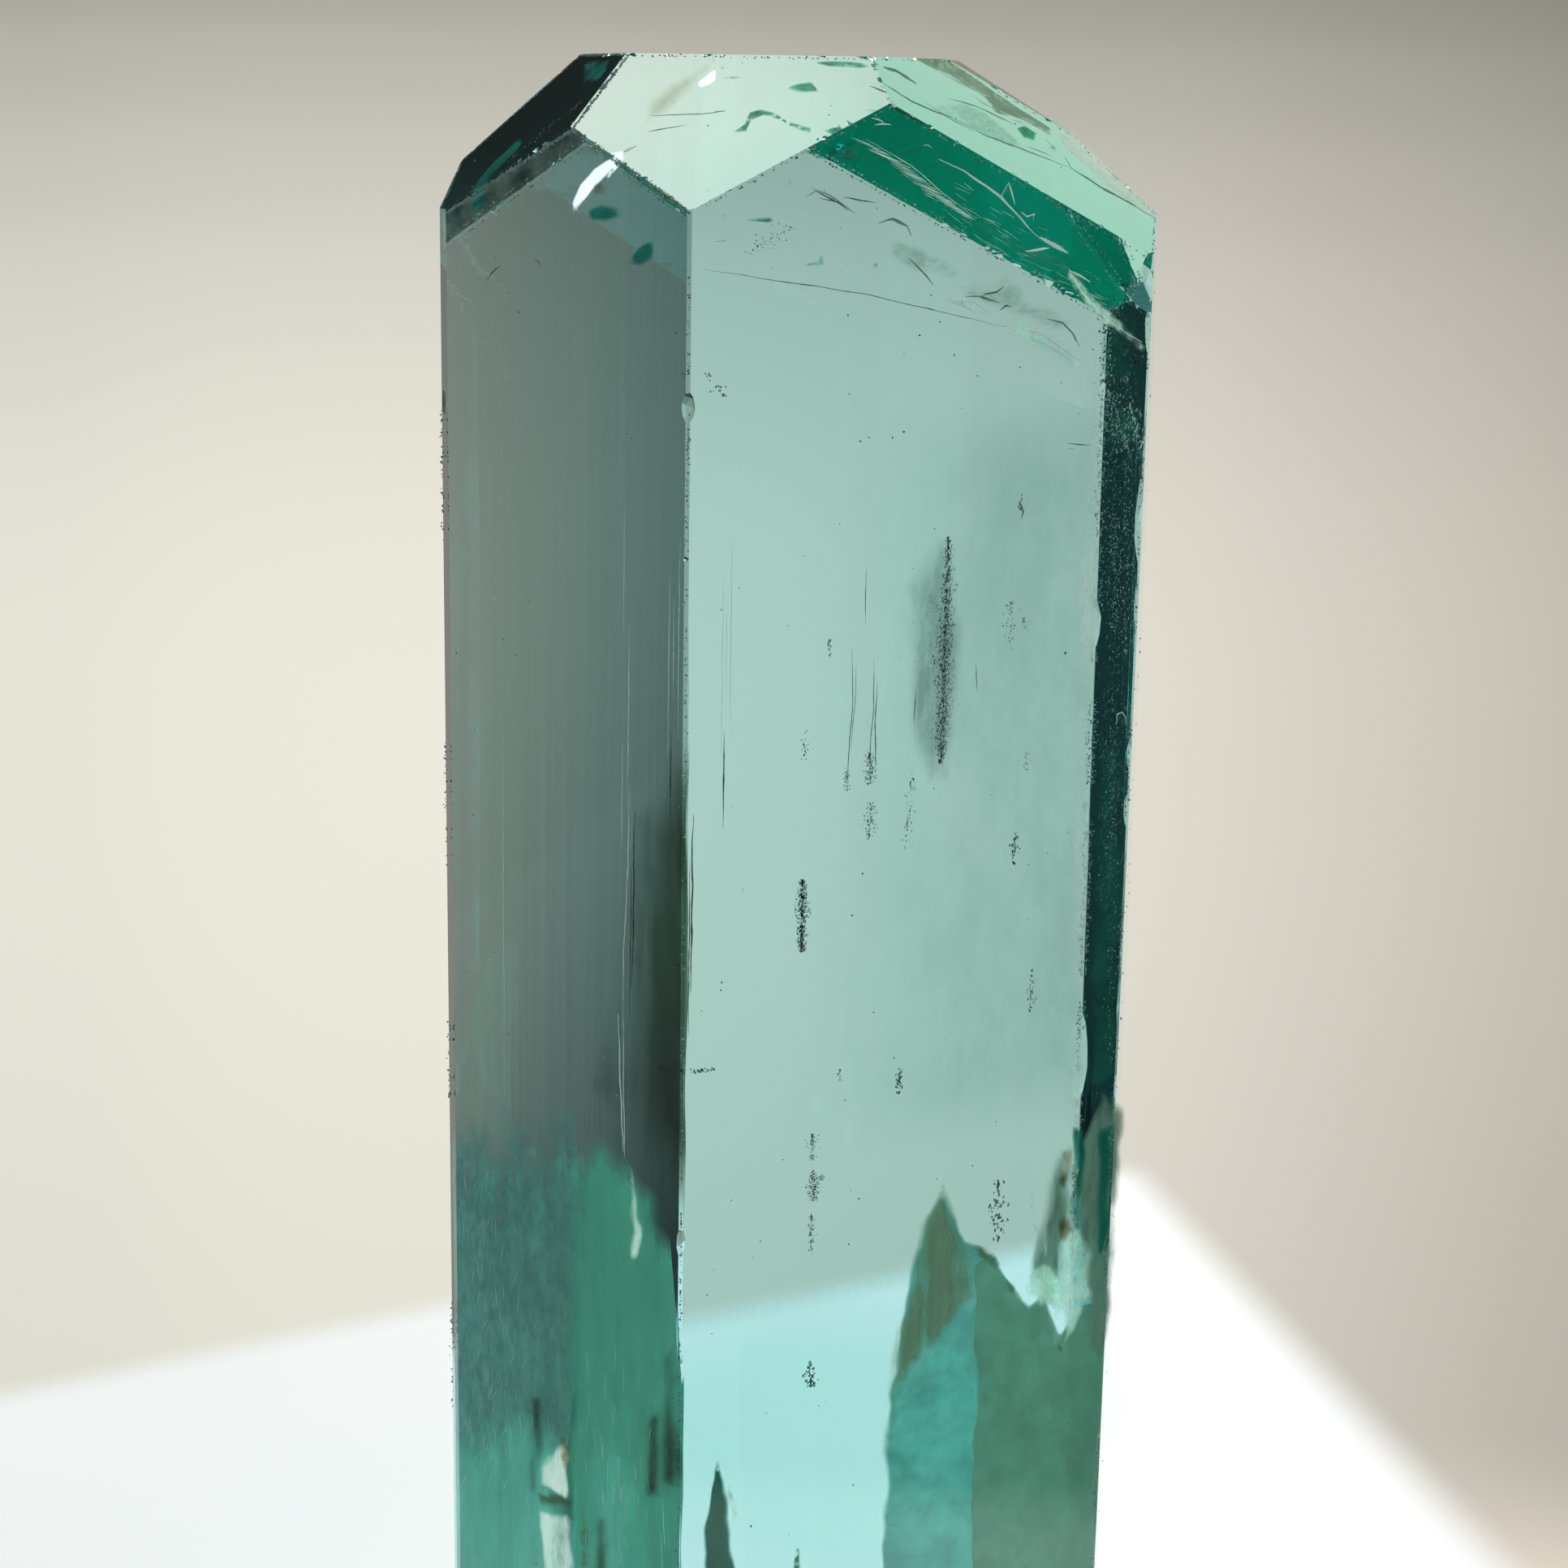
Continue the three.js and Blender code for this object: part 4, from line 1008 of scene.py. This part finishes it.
            (broad, 0.45, [(7.37, 12.71), (7.54, 13.31), (7.83, 13.4), (8.15, 12.92), (8.15, 11.96),
             (7.6, 11.1)]),
            (broad, 0.45, [(6.74, 12.61), (7.06, 12.88), (7.4, 12.75), (7.45, 11.6), (7.26, 11.9),
             (7.07, 11.9)]),
        ],
    },
    "tealStreaks": {
        "tint": ((0.35, 0.8, 0.7), (0.6, 0.92, 0.85)), "cloud": ((0.02, 0.55, 0.44), (0, 0.3, 0.25)),
        "share": (0.3, 0.9), "scale": 1.6, "soft": 0.14, "stretch": (1, 1, 0.2), "detail": 5.0,
        "paintedGlow": 0.05, "grain": 0.1, "jag": 0.04, "wave": 0.03,
        "sheets": [
            (frontLeft, 0.3, [(3.2, 31.56), (3.54, 31.64), (4.1, 31.54), (3.96, 31.36), (3.58, 31.3),
             (3.3, 31.36)]),
            (frontLeft, 0.3, [(4.1, 30.75), (4.44, 31.02), (4.68, 31.1), (4.65, 30.75), (4.41, 30.66)]),
            (tip(4), 0.15, [(0.78, -6.6), (0.55, -5.85), (0.65, -5.09), (1.2, -5.24), (1.2, -6.02),
             (1.5, -6.7)]),
            (tip(4), 0.15, [(0.3, -3.35), (1.68, -3.3), (1.98, -3.51), (2.0, -3.84), (1.31, -3.88)]),
            (broad, 0.4, [(7.61, 15.41), (7.85, 15.31), (7.92, 14.52), (7.75, 12.97), (7.61, 13.93)]),
            (broad, 0.4, [(8.11, 15.35), (8.45, 15.31), (8.45, 13.19), (8.24, 12.58), (8.08, 13.87)]),
        ],
    },
    "milkyBand": {
        "tint": ((0.9, 1, 0.95), (1, 1, 1)), "cloud": ((0.72, 1, 0.88), (0.45, 0.8, 0.66)),
        "share": (0.1, 0.9), "scale": 2.2, "soft": 0.14, "paintedGlow": 0.42, "grain": 0.08, "jag": 0.03,
        "wave": 0.02,
        "sheets": [
            (broad, 0.5, [(6.88, 30.67), (7.33, 30.21), (7.89, 29.75), (8.44, 29.34), (8.35, 29.21),
             (7.62, 29.66), (7.04, 30.21), (6.84, 30.48)]),
            (broad, 0.6, [(6.8, 12.28), (6.88, 12.66), (7.08, 12.78), (7.25, 12.45), (7.41, 12.73),
             (7.64, 12), (7.5, 11.37), (7.23, 12.22), (6.94, 12.04)]),
        ],
    },
    "stripClouds": {
        "tint": ((0.9, 1, 0.95), (1, 1, 1)), "cloud": ((0.04, 0.42, 0.32), (0, 0.13, 0.1)),
        "share": (0.0, 0.6), "scale": 1.2, "soft": 0.25, "stretch": (1, 1, 0.6), "paintedGlow": 0.08,
        "grain": 0.1, "jag": 0.05, "wave": 0.03,
        "sheets": [
            (broad, 0.6, [(7.48, 29.89), (7.78, 30.06), (8.32, 29.68), (8.26, 28.65), (7.9, 28.59),
             (7.5, 28.9)]),
            (broad, 0.5, [(7.59, 26.94), (7.78, 27.24), (8.5, 27.58), (8.5, 27.38), (8.02, 27.15),
             (7.66, 26.77)]),
            (broad, 0.5, [(7.59, 28.25), (7.96, 28.34), (8.37, 28.31), (8.46, 27.75), (8, 27.48),
             (7.62, 27.55)]),
            (broad, 0.5, [(7.8, 22.5), (8.3, 22.4), (8.45, 19.5), (8.5, 16.2), (8.0, 16.0), (7.85, 18.5)]),
        ],
    },
    # the clouded and stained zone towards the root
    "peakVeil": {
        "tint": ((0.46, 0.75, 0.7), (0.51, 0.78, 0.73)), "cloud": ((0.2, 0.46, 0.4), (0.14, 0.37, 0.33)),
        "share": (0.05, 0.32), "scale": 0.5, "soft": 0.14, "paintedGlow": 0.05, "grain": 0.2, "jag": 0.05,
        "wave": 0.08,
        "sheets": [
            (broad, 3.0, [(5.8, 14.08), (6.25, 12.78), (6.91, 12.4), (7.36, 11.59), (7.62, 11.38),
             (7.97, 11.57), (8.23, 10.46), (8.69, 11.16), (9.53, 11.35), (9.62, 5.55), (9.6, 1.1),
             (8.7, 1.7), (7.9, 0.9), (6.9, 1.5), (6.1, 0.8), (5.3, 1.6), (4.7, 1.1), (4.7, 9.53),
             (4.98, 11.42), (5.3, 13.21)]),
        ],
    },
    "mottleVeil": {
        "tint": ((0.9, 0.9, 0.84), (1, 0.97, 0.93)), "cloud": ((0.52, 0.95, 0.74), (0.3, 0.62, 0.46)),
        "share": (0.5, 0.9), "scale": 0.7, "soft": 0.1, "stretch": (1, 1, 0.8), "detail": 5.0, "paintedGlow": 0.1,
        "grain": 0.18, "jag": 0.03, "wave": 0.06,
        "sheets": [
            (broad, 2.7, [(6.35, 12.35), (6.52, 12.65), (7.02, 12.08), (7.53, 11.42), (7.89, 11.54),
             (8.2, 10.75), (8.6, 11.19), (9.44, 11.38), (9.52, 5.65), (9.5, 1.4), (8.6, 2.0), (8.0, 1.2),
             (7.2, 1.8), (6.5, 1.1), (6.42, 10.08)]),
        ],
    },
    "brownVeil": {
        "tint": ((0.88, 0.8, 0.7), (0.95, 0.9, 0.82)), "cloud": ((0.72, 0.86, 0.6), (0.36, 0.46, 0.3)),
        "share": (0.3, 0.8), "scale": 2.4, "soft": 0.45, "stretch": (1, 1, 0.16), "detail": 5.0,
        "paintedGlow": 0.08, "grain": 0.12, "jag": 0.04, "wave": 0.04,
        "sheets": [
            (broad, 2.85, [(5.76, 14.12), (5.96, 13.43), (6.41, 12.55), (6.46, 11.66), (5.77, 10.87),
             (5.2, 10.39), (4.89, 9.63), (4.83, 8.66), (4.6, 8.7), (4.65, 10.72), (5.09, 12.26),
             (5.21, 13.26)]),
        ],
    },
    "stripEnd": {
        "tint": ((0.8, 0.9, 0.84), (1, 1, 1)), "cloud": ((0.4, 0.7, 0.55), (0.08, 0.26, 0.18)),
        "share": (0.6, 1.0), "scale": 1.5, "soft": 0.3, "stretch": (1, 1, 0.22), "detail": 5.0,
        "paintedGlow": 0.12, "grain": 0.12, "jag": 0.06, "wave": 0.04,
        "sheets": [
            (broad, 0.5, [(7.5, 14.5), (7.95, 15.3), (8.2, 16.1), (8.8, 15.4), (8.75, 11.5), (8.63, 10.2),
             (8.2, 11.0), (7.88, 12.3), (7.5, 13.6)]),
            (broad, 0.6, [(6.82, 14.16), (6.93, 14.27), (7.1, 13.34), (7, 12.96)]),
            (broad, 0.7, [(7.2, 14.6), (7.5, 15.0), (7.75, 14.6), (7.8, 12.6), (7.6, 11.5), (6.9, 12.4)]),
        ],
    },
    "darkSpikes": {
        "tint": ((0.02, 0.4, 0.3), (0.05, 0.5, 0.4)), "cloud": ((0.01, 0.42, 0.28), (0, 0.22, 0.14)),
        "share": (0.4, 1.0), "scale": 1.0, "soft": 0.08, "stretch": (1, 1, 0.5), "paintedGlow": 0.05,
        "grain": 0.1, "jag": 0.03, "wave": 0.04,
        "sheets": [
            (broad, 0.9, [(0.93, 9.99), (1.12, 9.33), (1.28, 7.69), (1.36, 4.4), (1.0, 3.3), (0.7, 4.6),
             (0.62, 7.8), (0.8, 9.39)]),
            (broad, 0.9, [(2.52, 8.17), (2.71, 6.31), (2.8, 4.6), (2.5, 3.4), (2.2, 4.7), (2.23, 6.41)]),
        ],
    },
    # the left face
    "leftTealVeil": {
        "tint": ((0.6, 0.86, 0.78), (0.66, 0.9, 0.84)), "cloud": ((0.16, 0.72, 0.54), (0.05, 0.46, 0.34)),
        "share": (0.6, 1.0), "scale": 0.7, "soft": 0.95, "stretch": (1, 1, 0.25), "detail": 6.0,
        "paintedGlow": 0.18, "grain": 0.16, "jag": 0.06, "wave": 0.05,
        "sheets": [
            (frontLeft, 0.15, [(2.89, 15.26), (3.55, 15.9), (4.17, 15.57), (4.98, 15.03), (5.24, 14.36),
             (5.45, 11.71), (5.48, 1.5), (2.88, 1.5), (2.88, 7.24), (2.69, 9.3), (2.83, 14.03)], 4, 5),
        ],
    },
    "leftMottleVeil": {
        "tint": ((0.42, 0.66, 0.64), (0.6, 0.8, 0.76)), "cloud": ((0.36, 0.95, 0.85), (0, 0.22, 0.21)),
        "share": (0.45, 0.95), "scale": 1.3, "soft": 2.6, "stretch": (1, 1, 0.45), "detail": 7.0,
        "paintedGlow": 0.1, "grain": 0.18, "jag": 0.08, "wave": 0.05,
        "sheets": [
            (frontLeft, 0.25, [(0.02, 15.3), (1.68, 15.9), (3.0, 16.4), (3.2, 12.46), (2.8, 9.4),
             (1.64, 8.4), (0.02, 7.8)], 2, 3, 4, 5, 6),
        ],
    },
    "leftLowVeil": {
        "tint": ((0.62, 0.9, 0.86), (0.75, 0.95, 0.92)), "cloud": ((0.24, 0.82, 0.68), (0.03, 0.38, 0.34)),
        "share": (0.5, 1.0), "scale": 1.0, "soft": 1.5, "stretch": (1, 1, 0.2), "detail": 6.0,
        "paintedGlow": 0.25, "grain": 0.16, "jag": 0.06, "wave": 0.05,
        "sheets": [
            (frontLeft, 0.2, [(0.02, 9.1), (1.67, 10.25), (2.85, 9.6), (2.95, 7.18), (2.95, 1.7),
             (0.02, 1.7)], 5),
            (frontLeft, 0.12, [(3.1, 9.6), (4.0, 10.6), (4.9, 9.3), (5.0, 1.8), (3.2, 1.8)]),
        ],
    },
    # painted light: a mostly opaque grey-green sheet with a painted glow, laid over a darker band at the top
    # of the left face
    "leftCrownPaintedLight": {
        "tint": ((1, 1, 1), (1, 1, 1)), "cloud": ((0.34, 0.46, 0.39), (0.22, 0.3, 0.26)),
        "share": (0.0, 0.2), "scale": 0.8, "soft": 0.08, "detail": 5.0, "paintedGlow": 0.55, "grain": 0.14,
        "jag": 0.0, "wave": 0.01,
        "sheets": [
            (frontLeft, 0.1, [(0.04, 31.3), (3.1, 32.78), (3.36, 32.6), (0.04, 30.7)], 0, 2, 3),
        ],
    },
    "leftStreaks": {
        "tint": ((0.7, 0.8, 0.74), (0.9, 0.95, 0.92)), "cloud": ((0.2, 0.5, 0.38), (0.06, 0.18, 0.13)),
        "share": (0.35, 1.0), "scale": 0.9, "soft": 0.4, "stretch": (1, 1, 0.15), "detail": 5.0,
        "grain": 0.1, "jag": 0.04, "wave": 0.04,
        "sheets": [
            (frontLeft, 0.09, [(1.95, 10.4), (2.3, 10.5), (2.36, 9.4), (2.2, 8.4), (1.85, 8.5)]),
            (frontLeft, 0.07, [(5.15, 12.1), (5.46, 12.6), (5.46, 9.6), (5.05, 9.6), (5.1, 11.2)]),
            (frontLeft, 0.08, [(4.75, 10.9), (5.08, 11.0), (5.1, 9.3), (4.62, 9.2)]),
            (frontLeft, 0.09, [(3.5, 8.6), (3.95, 8.6), (3.95, 6.2), (3.5, 6.0)]),
        ],
    },
    # painted shade: dark sheets under the left face, mostly towards its front edge
    "leftShade": {
        "tint": ((0.5, 0.63, 0.55), (0.68, 0.78, 0.7)), "cloud": ((0.03, 0.12, 0.09), (0.005, 0.04, 0.03)),
        "share": (0.05, 0.6), "scale": 0.7, "soft": 1.3, "stretch": (1, 1, 0.12), "grain": 0.2, "jag": 0.08,
        "wave": 0.05,
        "sheets": [
            (frontLeft, 0.12, [(4.3, 21.6), (4.98, 22.8), (5.48, 23.2), (5.48, 12.6), (5.04, 15.2),
             (4.22, 15.6), (3.4, 16.5), (3.8, 19.04)], 2),
            (frontLeft, 0.1, [(4.6, 11.1), (5.15, 11.3), (5.48, 11.1), (5.48, 9.4), (5.11, 9.2),
             (4.7, 9.6)], 2),
            (frontLeft, 0.1, [(2.5, 14.9), (2.95, 15.1), (2.98, 12.48), (2.6, 9.6), (2.4, 11.0)]),
        ],
    },
}


def sheetPiece(name, entries, material, **shape):
    bm = bmesh.new()
    for k, (face, depth, outline, *firm) in enumerate(entries):
        addSheet(bm, face, depth, outline, k + 1, firm, **shape)
    return finishPiece(name, bm, material)


for name, film in films.items():
    sheetPiece(name, film["sheets"], filmMaterial(name + "Film", film), grain=film["grain"], jag=film["jag"],
               wave=film["wave"])

# the right of the broad face is dimmer than its left
innerDim = {
    "sheet": (broad, 2.2, [(2.2, 14.5), (2.2, 29.6), (5.5, 29.0), (8.6, 27.9), (8.9, 20.0), (9.0, 13.6),
                           (7.0, 14.2),
                           (5.0, 14.6)]),
    "across": (2.2, 7.2), "foot": (14.6, 16.5), "head": (29.0, 26.8), "cast": (0.84, 0.885, 0.885, 1),
    "tallness": 0.5, "scale": 0.45, "detail": 5.0, "rough": 0.65, "cloud": (0.3, 0.7, 0.45, 1.15),
}


def dimMaterial():
    # clear at its left rim, a slight grey cast with soft clouds towards its right
    look = innerDim
    mat, add, place, whole = newMaterial("innerDim")
    origin, u, v, n = faceFrame(broad)
    across = add("ShaderNodeVectorMath", {0: whole, 1: u}, operation="DOT_PRODUCT").outputs["Value"]
    start = origin.dot(u)
    side = ramp(add, across, *(start + far for far in look["across"]))
    height = add("ShaderNodeSeparateXYZ", {0: whole}).outputs["Z"]
    fade = calc(add, "MULTIPLY", ramp(add, height, *look["foot"]), ramp(add, height, *look["head"]))
    drawn = add("ShaderNodeMapping", {"Vector": place, "Scale": (inMm, inMm,
                                                                 inMm * look["tallness"])}).outputs[0]
    cloud = ramp(add, noiseOf(add, drawn, look["scale"], look["detail"], look["rough"]), *look["cloud"])
    share = calc(add, "MULTIPLY", calc(add, "MULTIPLY", side, fade), cloud, True)
    tint = mixColour(add, share, (1, 1, 1, 1), look["cast"])
    add("ShaderNodeOutputMaterial", {"Surface": add("ShaderNodeBsdfTransparent", {"Color": tint}).outputs[0]})
    return mat


sheetPiece("innerDim", [innerDim["sheet"]], dimMaterial(), grain=0.6, jag=0.02, wave=0.02)
print("inclusions made")


def upEdge(i, low, high, lift=0.0):
    n = outward(crystal["turn"] + 30 + 60 * i)
    base = edgePoint(i) - n * (crystal["edgeWear"] + lift)
    return base + Vector((0, 0, low)), base + Vector((0, 0, high))


# frost along the worn edges
frost = {
    "seed": 31, "large": 0.03, "small": 0.008, "tilt": 3.0, "firstSeed": 900, "seedStep": 3,
    # each upright edge: patches, grains in one, spread
    "edges": [(9, 60, 0.07), (5, 40, 0.07), (13, 120, 0.1), (5, 40, 0.06), (5, 40, 0.05), (15, 34, 0.045)],
    "patch": (1.2, 2.6), "lift": 0.6,
    # the tip's edges: grains per mm and spread, on the left rim and elsewhere, and how far inward of the edge
    "leftRim": (190, 0.045), "otherRim": (16, 0.03), "inward": 0.08, "centre": 7,
}
frostLook = grainMaterial("edgeFrost", (0.55, 0.72, 0.64, 1), (0.85, 0.95, 0.9, 1), 0.7, 0.75)
rng = random.Random(frost["seed"])
runs = []
for i, (patches, count, spread) in enumerate(frost["edges"]):
    for k in range(patches):
        low = 1 + (edgeTop(i) - 2) * (k + rng.random() * 0.5) / patches
        runs.append((*upEdge(i, low, low + rng.uniform(*frost["patch"]), spread * frost["lift"]), count,
                     spread))
for a, b in tipEdges():
    shared = (a + b) / 2
    inward = (Vector((0, 0, crystal["length"] - frost["centre"])) - shared).normalized() * frost["inward"]
    leftRim = a.x < -3.5 and b.x < -3.5 or (shared.x < -3 and shared.y < -2)
    perMm, spread = frost["leftRim"] if leftRim else frost["otherRim"]
    runs.append((a + inward, b + inward, int((b - a).length * perMm), spread))
meshes = []
for k, (a, b, count, spread) in enumerate(runs):
    meshes.append(grow(trail, {"Start": a * mm, "End": b * mm,
                               "Spread": Vector((spread, spread, spread)) * mm,
                               "Count": count, "Seed": frost["firstSeed"] + k * frost["seedStep"],
                               "Small": frost["small"] * mm, "Large": frost["large"] * mm, "Stretch": 1.0,
                               "Tilt": frost["tilt"], "Material": frostLook}))
grainPiece("edgeFrost", meshes)

# dust grains on the faces
dustLook = grainMaterial("paleDust", (0.7, 0.74, 0.72, 1), (0.95, 0.97, 0.95, 1), 0.6)
dust = {"perSquareMm": 0.32, "seed": 9, "small": 0.006, "large": 0.019}
dustMesh = grow(dustTree(), {"Density": dust["perSquareMm"] / mm ** 2, "Seed": dust["seed"],
                             "Small": dust["small"] * mm, "Large": dust["large"] * mm, "Material": dustLook},
                             body)
grainPiece("dust", [dustMesh])
print("dust made")

# pale cloth: its far corner lies behind the crystal to the right
cloth = {
    "side": 0.6, "drop": 0.02, "roughness": 0.9, "specular": 0.1,
    # the corner, the directions into the cloth from its two edges, and how softly they end
    "corner": (10.7, 34.9), "fromFar": (0.495, -0.87), "fromRight": (-0.975, -0.224), "softness": 1.1,
    "weave": ((0.82, 0.865, 0.855, 1), (0.87, 0.9, 0.89, 1)), "weaveScale": 0.12, "weaveDetail": 4.0,
    # painted light: the cloth turns paler towards its right
    "rightward": (-12, 12), "rightPaintedLight": (0.97, 0.985, 0.975, 1),
    # painted shade: the cloth turns nearly black past a line towards the front right, and dims towards the
    # front left
    "shadeWay": (0.78, -0.62, 0), "shade": (19.6, 23.0), "dim": (0.012, 0.014, 0.013, 1),
    "nearWay": (-0.7, -0.7, 0), "near": (11.5, 20), "nearDim": (0.25, 0.3, 0.28, 1),
    # green light thrown behind the crystal
    "greenAt": (1, 19, 0), "greenOut": (5.0, 9.5), "greenCast": (0.86, 0.97, 0.92, 1),
}


def clothMaterial():
    mat = bpy.data.materials.new("paleCloth")
    mat.use_nodes = True
    tree = mat.node_tree
    bsdf = tree.nodes["Principled BSDF"]
    bsdf.inputs["Roughness"].default_value = cloth["roughness"]
    bsdf.inputs["Specular IOR Level"].default_value = cloth["specular"]
    add = adder(tree)
    place = add("ShaderNodeTexCoord").outputs["Object"]
    whole = add("ShaderNodeMapping", {"Vector": place, "Scale": (inMm, inMm, inMm)}).outputs[0]

    def towards(way, stops):
        # 0 to 1 between two distances along a direction, in metres
        reached = add("ShaderNodeVectorMath", {0: place, 1: way}, operation="DOT_PRODUCT").outputs["Value"]
        return ramp(add, reached, *stops)

    def fromEdge(way):
        start = Vector(way).dot(Vector(cloth["corner"])) * mm
        soft = cloth["softness"] * mm
        return towards((*way, 0), (start - soft, start + soft))

    weave = noiseOf(add, whole, cloth["weaveScale"], cloth["weaveDetail"])
    pale = mixColour(add, weave, *cloth["weave"])
    # painted light: paler towards the right
    sideways = add("ShaderNodeSeparateXYZ", {0: place}).outputs["X"]
    pale = mixColour(add, ramp(add, sideways, *(r * mm for r in cloth["rightward"])), pale,
                     cloth["rightPaintedLight"])
    away = add("ShaderNodeVectorMath", {0: place, 1: tuple(c * mm for c in cloth["greenAt"])},
               operation="DISTANCE").outputs["Value"]
    cast = mixColour(add, ramp(add, away, *(r * mm for r in cloth["greenOut"])), cloth["greenCast"],
                     (1, 1, 1, 1))
    pale = add("ShaderNodeMix", {0: 1.0, 6: pale, 7: cast}, data_type="RGBA",
               blend_type="MULTIPLY").outputs[2]
    # painted shade: dimmer towards the front left, nearly black towards the front right
    near = towards(cloth["nearWay"], [r * mm for r in cloth["near"]])
    shade = towards(cloth["shadeWay"], [r * mm for r in cloth["shade"]])
    whole = mixColour(add, shade, mixColour(add, near, pale, cloth["nearDim"]), cloth["dim"])
    tree.links.new(whole, bsdf.inputs["Base Color"])
    tree.links.new(calc(add, "MULTIPLY", fromEdge(cloth["fromFar"]), fromEdge(cloth["fromRight"])),
                   bsdf.inputs["Alpha"])
    return mat


bpy.ops.mesh.primitive_plane_add(size=cloth["side"])
floor = bpy.context.object
floor.name = "paleFloor"
floor.location.z = -cloth["drop"] * mm
floor.data.materials.append(clothMaterial())
print("cloth made")

# studio: a bright side to the left and back, falling off to the right and behind the camera, bright below
studio = {
    "strength": 1.5,
    # turn from straight back towards the right, degrees: colour at eye level, before the strength
    "round": [(-180, (0.03, 0.03, 0.028)), (-120, (0.06, 0.06, 0.055)), (-92, (0.1, 0.1, 0.09)),
              (-65, (0.43, 0.42, 0.38)), (-14, (0.533, 0.522, 0.46)), (-5, (0.56, 0.547, 0.48)),
              (3, (0.527, 0.51, 0.447)),
              (9, (0.473, 0.453, 0.4)), (15, (0.373, 0.357, 0.31)), (24, (0.29, 0.275, 0.235)),
              (40, (0.235, 0.223, 0.195)), (45, (0.2, 0.195, 0.168)), (50, (0.15, 0.15, 0.132)),
              (56, (0.1, 0.104, 0.09)), (64, (0.05, 0.054, 0.046)), (100, (0.022, 0.023, 0.02)),
              (128, (0.02, 0.021, 0.018)), (180, (0.05, 0.05, 0.047))],
    # the same turn: colour looking down on the table
    "table": [(-180, (0.23, 0.24, 0.23)), (-120, (0.33, 0.35, 0.33)), (-60, (0.467, 0.57, 0.467)),
              (-12, (0.54, 0.62, 0.48)), (8, (0.66, 0.64, 0.52)), (20, (0.84, 0.69, 0.6)),
              (28, (0.76, 0.65, 0.56)),
              (44, (0.2, 0.2, 0.19)), (60, (0.06, 0.06, 0.055)), (100, (0.015, 0.015, 0.014)),
              (140, (0.012, 0.012, 0.01)), (180, (0.23, 0.24, 0.23))],
    # height of the direction: share of the eye level colour
    "rise": [(-1.0, 0.9), (-0.42, 0.92), (-0.24, 1.0), (-0.13, 0.95), (-0.05, 0.79), (-0.01, 0.66),
             (0.024, 0.52),
             (0.09, 0.27), (0.2, 0.06), (0.3, 0.035), (1.0, 0.09)],
    "tableFrom": -0.42, "tableTo": -0.52,
}


def studioWorld():
    world = bpy.data.worlds.new("studio")
    scene.world = world
    world.use_nodes = True
    tree = world.node_tree
    back = tree.nodes["Background"]
    add = adder(tree)
    split = add("ShaderNodeSeparateXYZ", {0: add("ShaderNodeTexCoord").outputs["Generated"]}).outputs
    turn = calc(add, "ARCTAN2", split["X"], split["Y"])
    share = add("ShaderNodeMapRange", {"Value": turn, "From Min": -math.pi, "From Max": math.pi}).outputs[0]

    def levels(value, stops):
        scale = add("ShaderNodeValToRGB", {0: value})
        scale.color_ramp.interpolation = "CARDINAL"
        while len(scale.color_ramp.elements) < len(stops):
            scale.color_ramp.elements.new(0.5)
        for element, (where, colour) in zip(scale.color_ramp.elements, stops):
            element.position = where
            element.color = tuple(colour) + (1,)
        return scale.outputs[0]

    eye = levels(share, [((a + 180) / 360, c) for a, c in studio["round"]])
    table = levels(share, [((a + 180) / 360, c) for a, c in studio["table"]])
    lift = add("ShaderNodeMapRange", {"Value": split["Z"], "From Min": -1.0, "From Max": 1.0}).outputs[0]
    rise = levels(lift, [((z + 1) / 2, (v, v, v)) for z, v in studio["rise"]])
    eye = add("ShaderNodeMix", {0: 1.0, 6: eye, 7: rise}, data_type="RGBA", blend_type="MULTIPLY").outputs[2]
    down = ramp(add, split["Z"], studio["tableFrom"], studio["tableTo"])
    tree.links.new(mixColour(add, down, eye, table), back.inputs["Color"])
    back.inputs["Strength"].default_value = studio["strength"]


studioWorld()
print("studio made")


# one soft window behind the crystal, in metres and watts
window = {"place": (0.04, 0.17, 0.30), "aim": (0.02, 0.03, 0), "size": 0.24, "power": 1.5}


def windowLight():
    light = bpy.data.lights.new("windowLight", "AREA")
    light.shape = "DISK"
    light.size = window["size"]
    light.energy = window["power"]
    lamp = bpy.data.objects.new("windowLight", light)
    lamp.location = window["place"]
    lamp.rotation_euler = (Vector(window["aim"]) - Vector(window["place"])).to_track_quat("-Z",
                                                                                          "Y").to_euler()
    scene.collection.objects.link(lamp)


windowLight()

# the camera: place in millimetres, turns in degrees, clip distances in metres
view = {"place": (-0.537, -52.38, 33.353), "pitch": 13.426, "roll": 0.965, "focalPixels": 3549.2,
        "imageSide": 1932,
        "sensor": 36, "clipNear": 0.001, "clipFar": 5}


def placeCamera():
    data = bpy.data.cameras.new("camera")
    data.sensor_width = view["sensor"]
    data.lens = data.sensor_width * view["focalPixels"] / view["imageSide"]
    data.clip_start = view["clipNear"]
    data.clip_end = view["clipFar"]
    camera = bpy.data.objects.new("camera", data)
    pitch = Matrix.Rotation(math.radians(90 - view["pitch"]), 4, "X")
    roll = Matrix.Rotation(math.radians(view["roll"]), 4, "Z")
    camera.matrix_world = Matrix.Translation(Vector(view["place"]) * mm) @ (pitch @ roll)
    scene.collection.objects.link(camera)
    scene.camera = camera


placeCamera()
scene.view_settings.view_transform = "Standard"
for kind in ("max_bounces", "transmission_bounces", "transparent_max_bounces"):
    setattr(scene.cycles, kind, 32)
scene.cycles.glossy_bounces = 16
print("camera made")
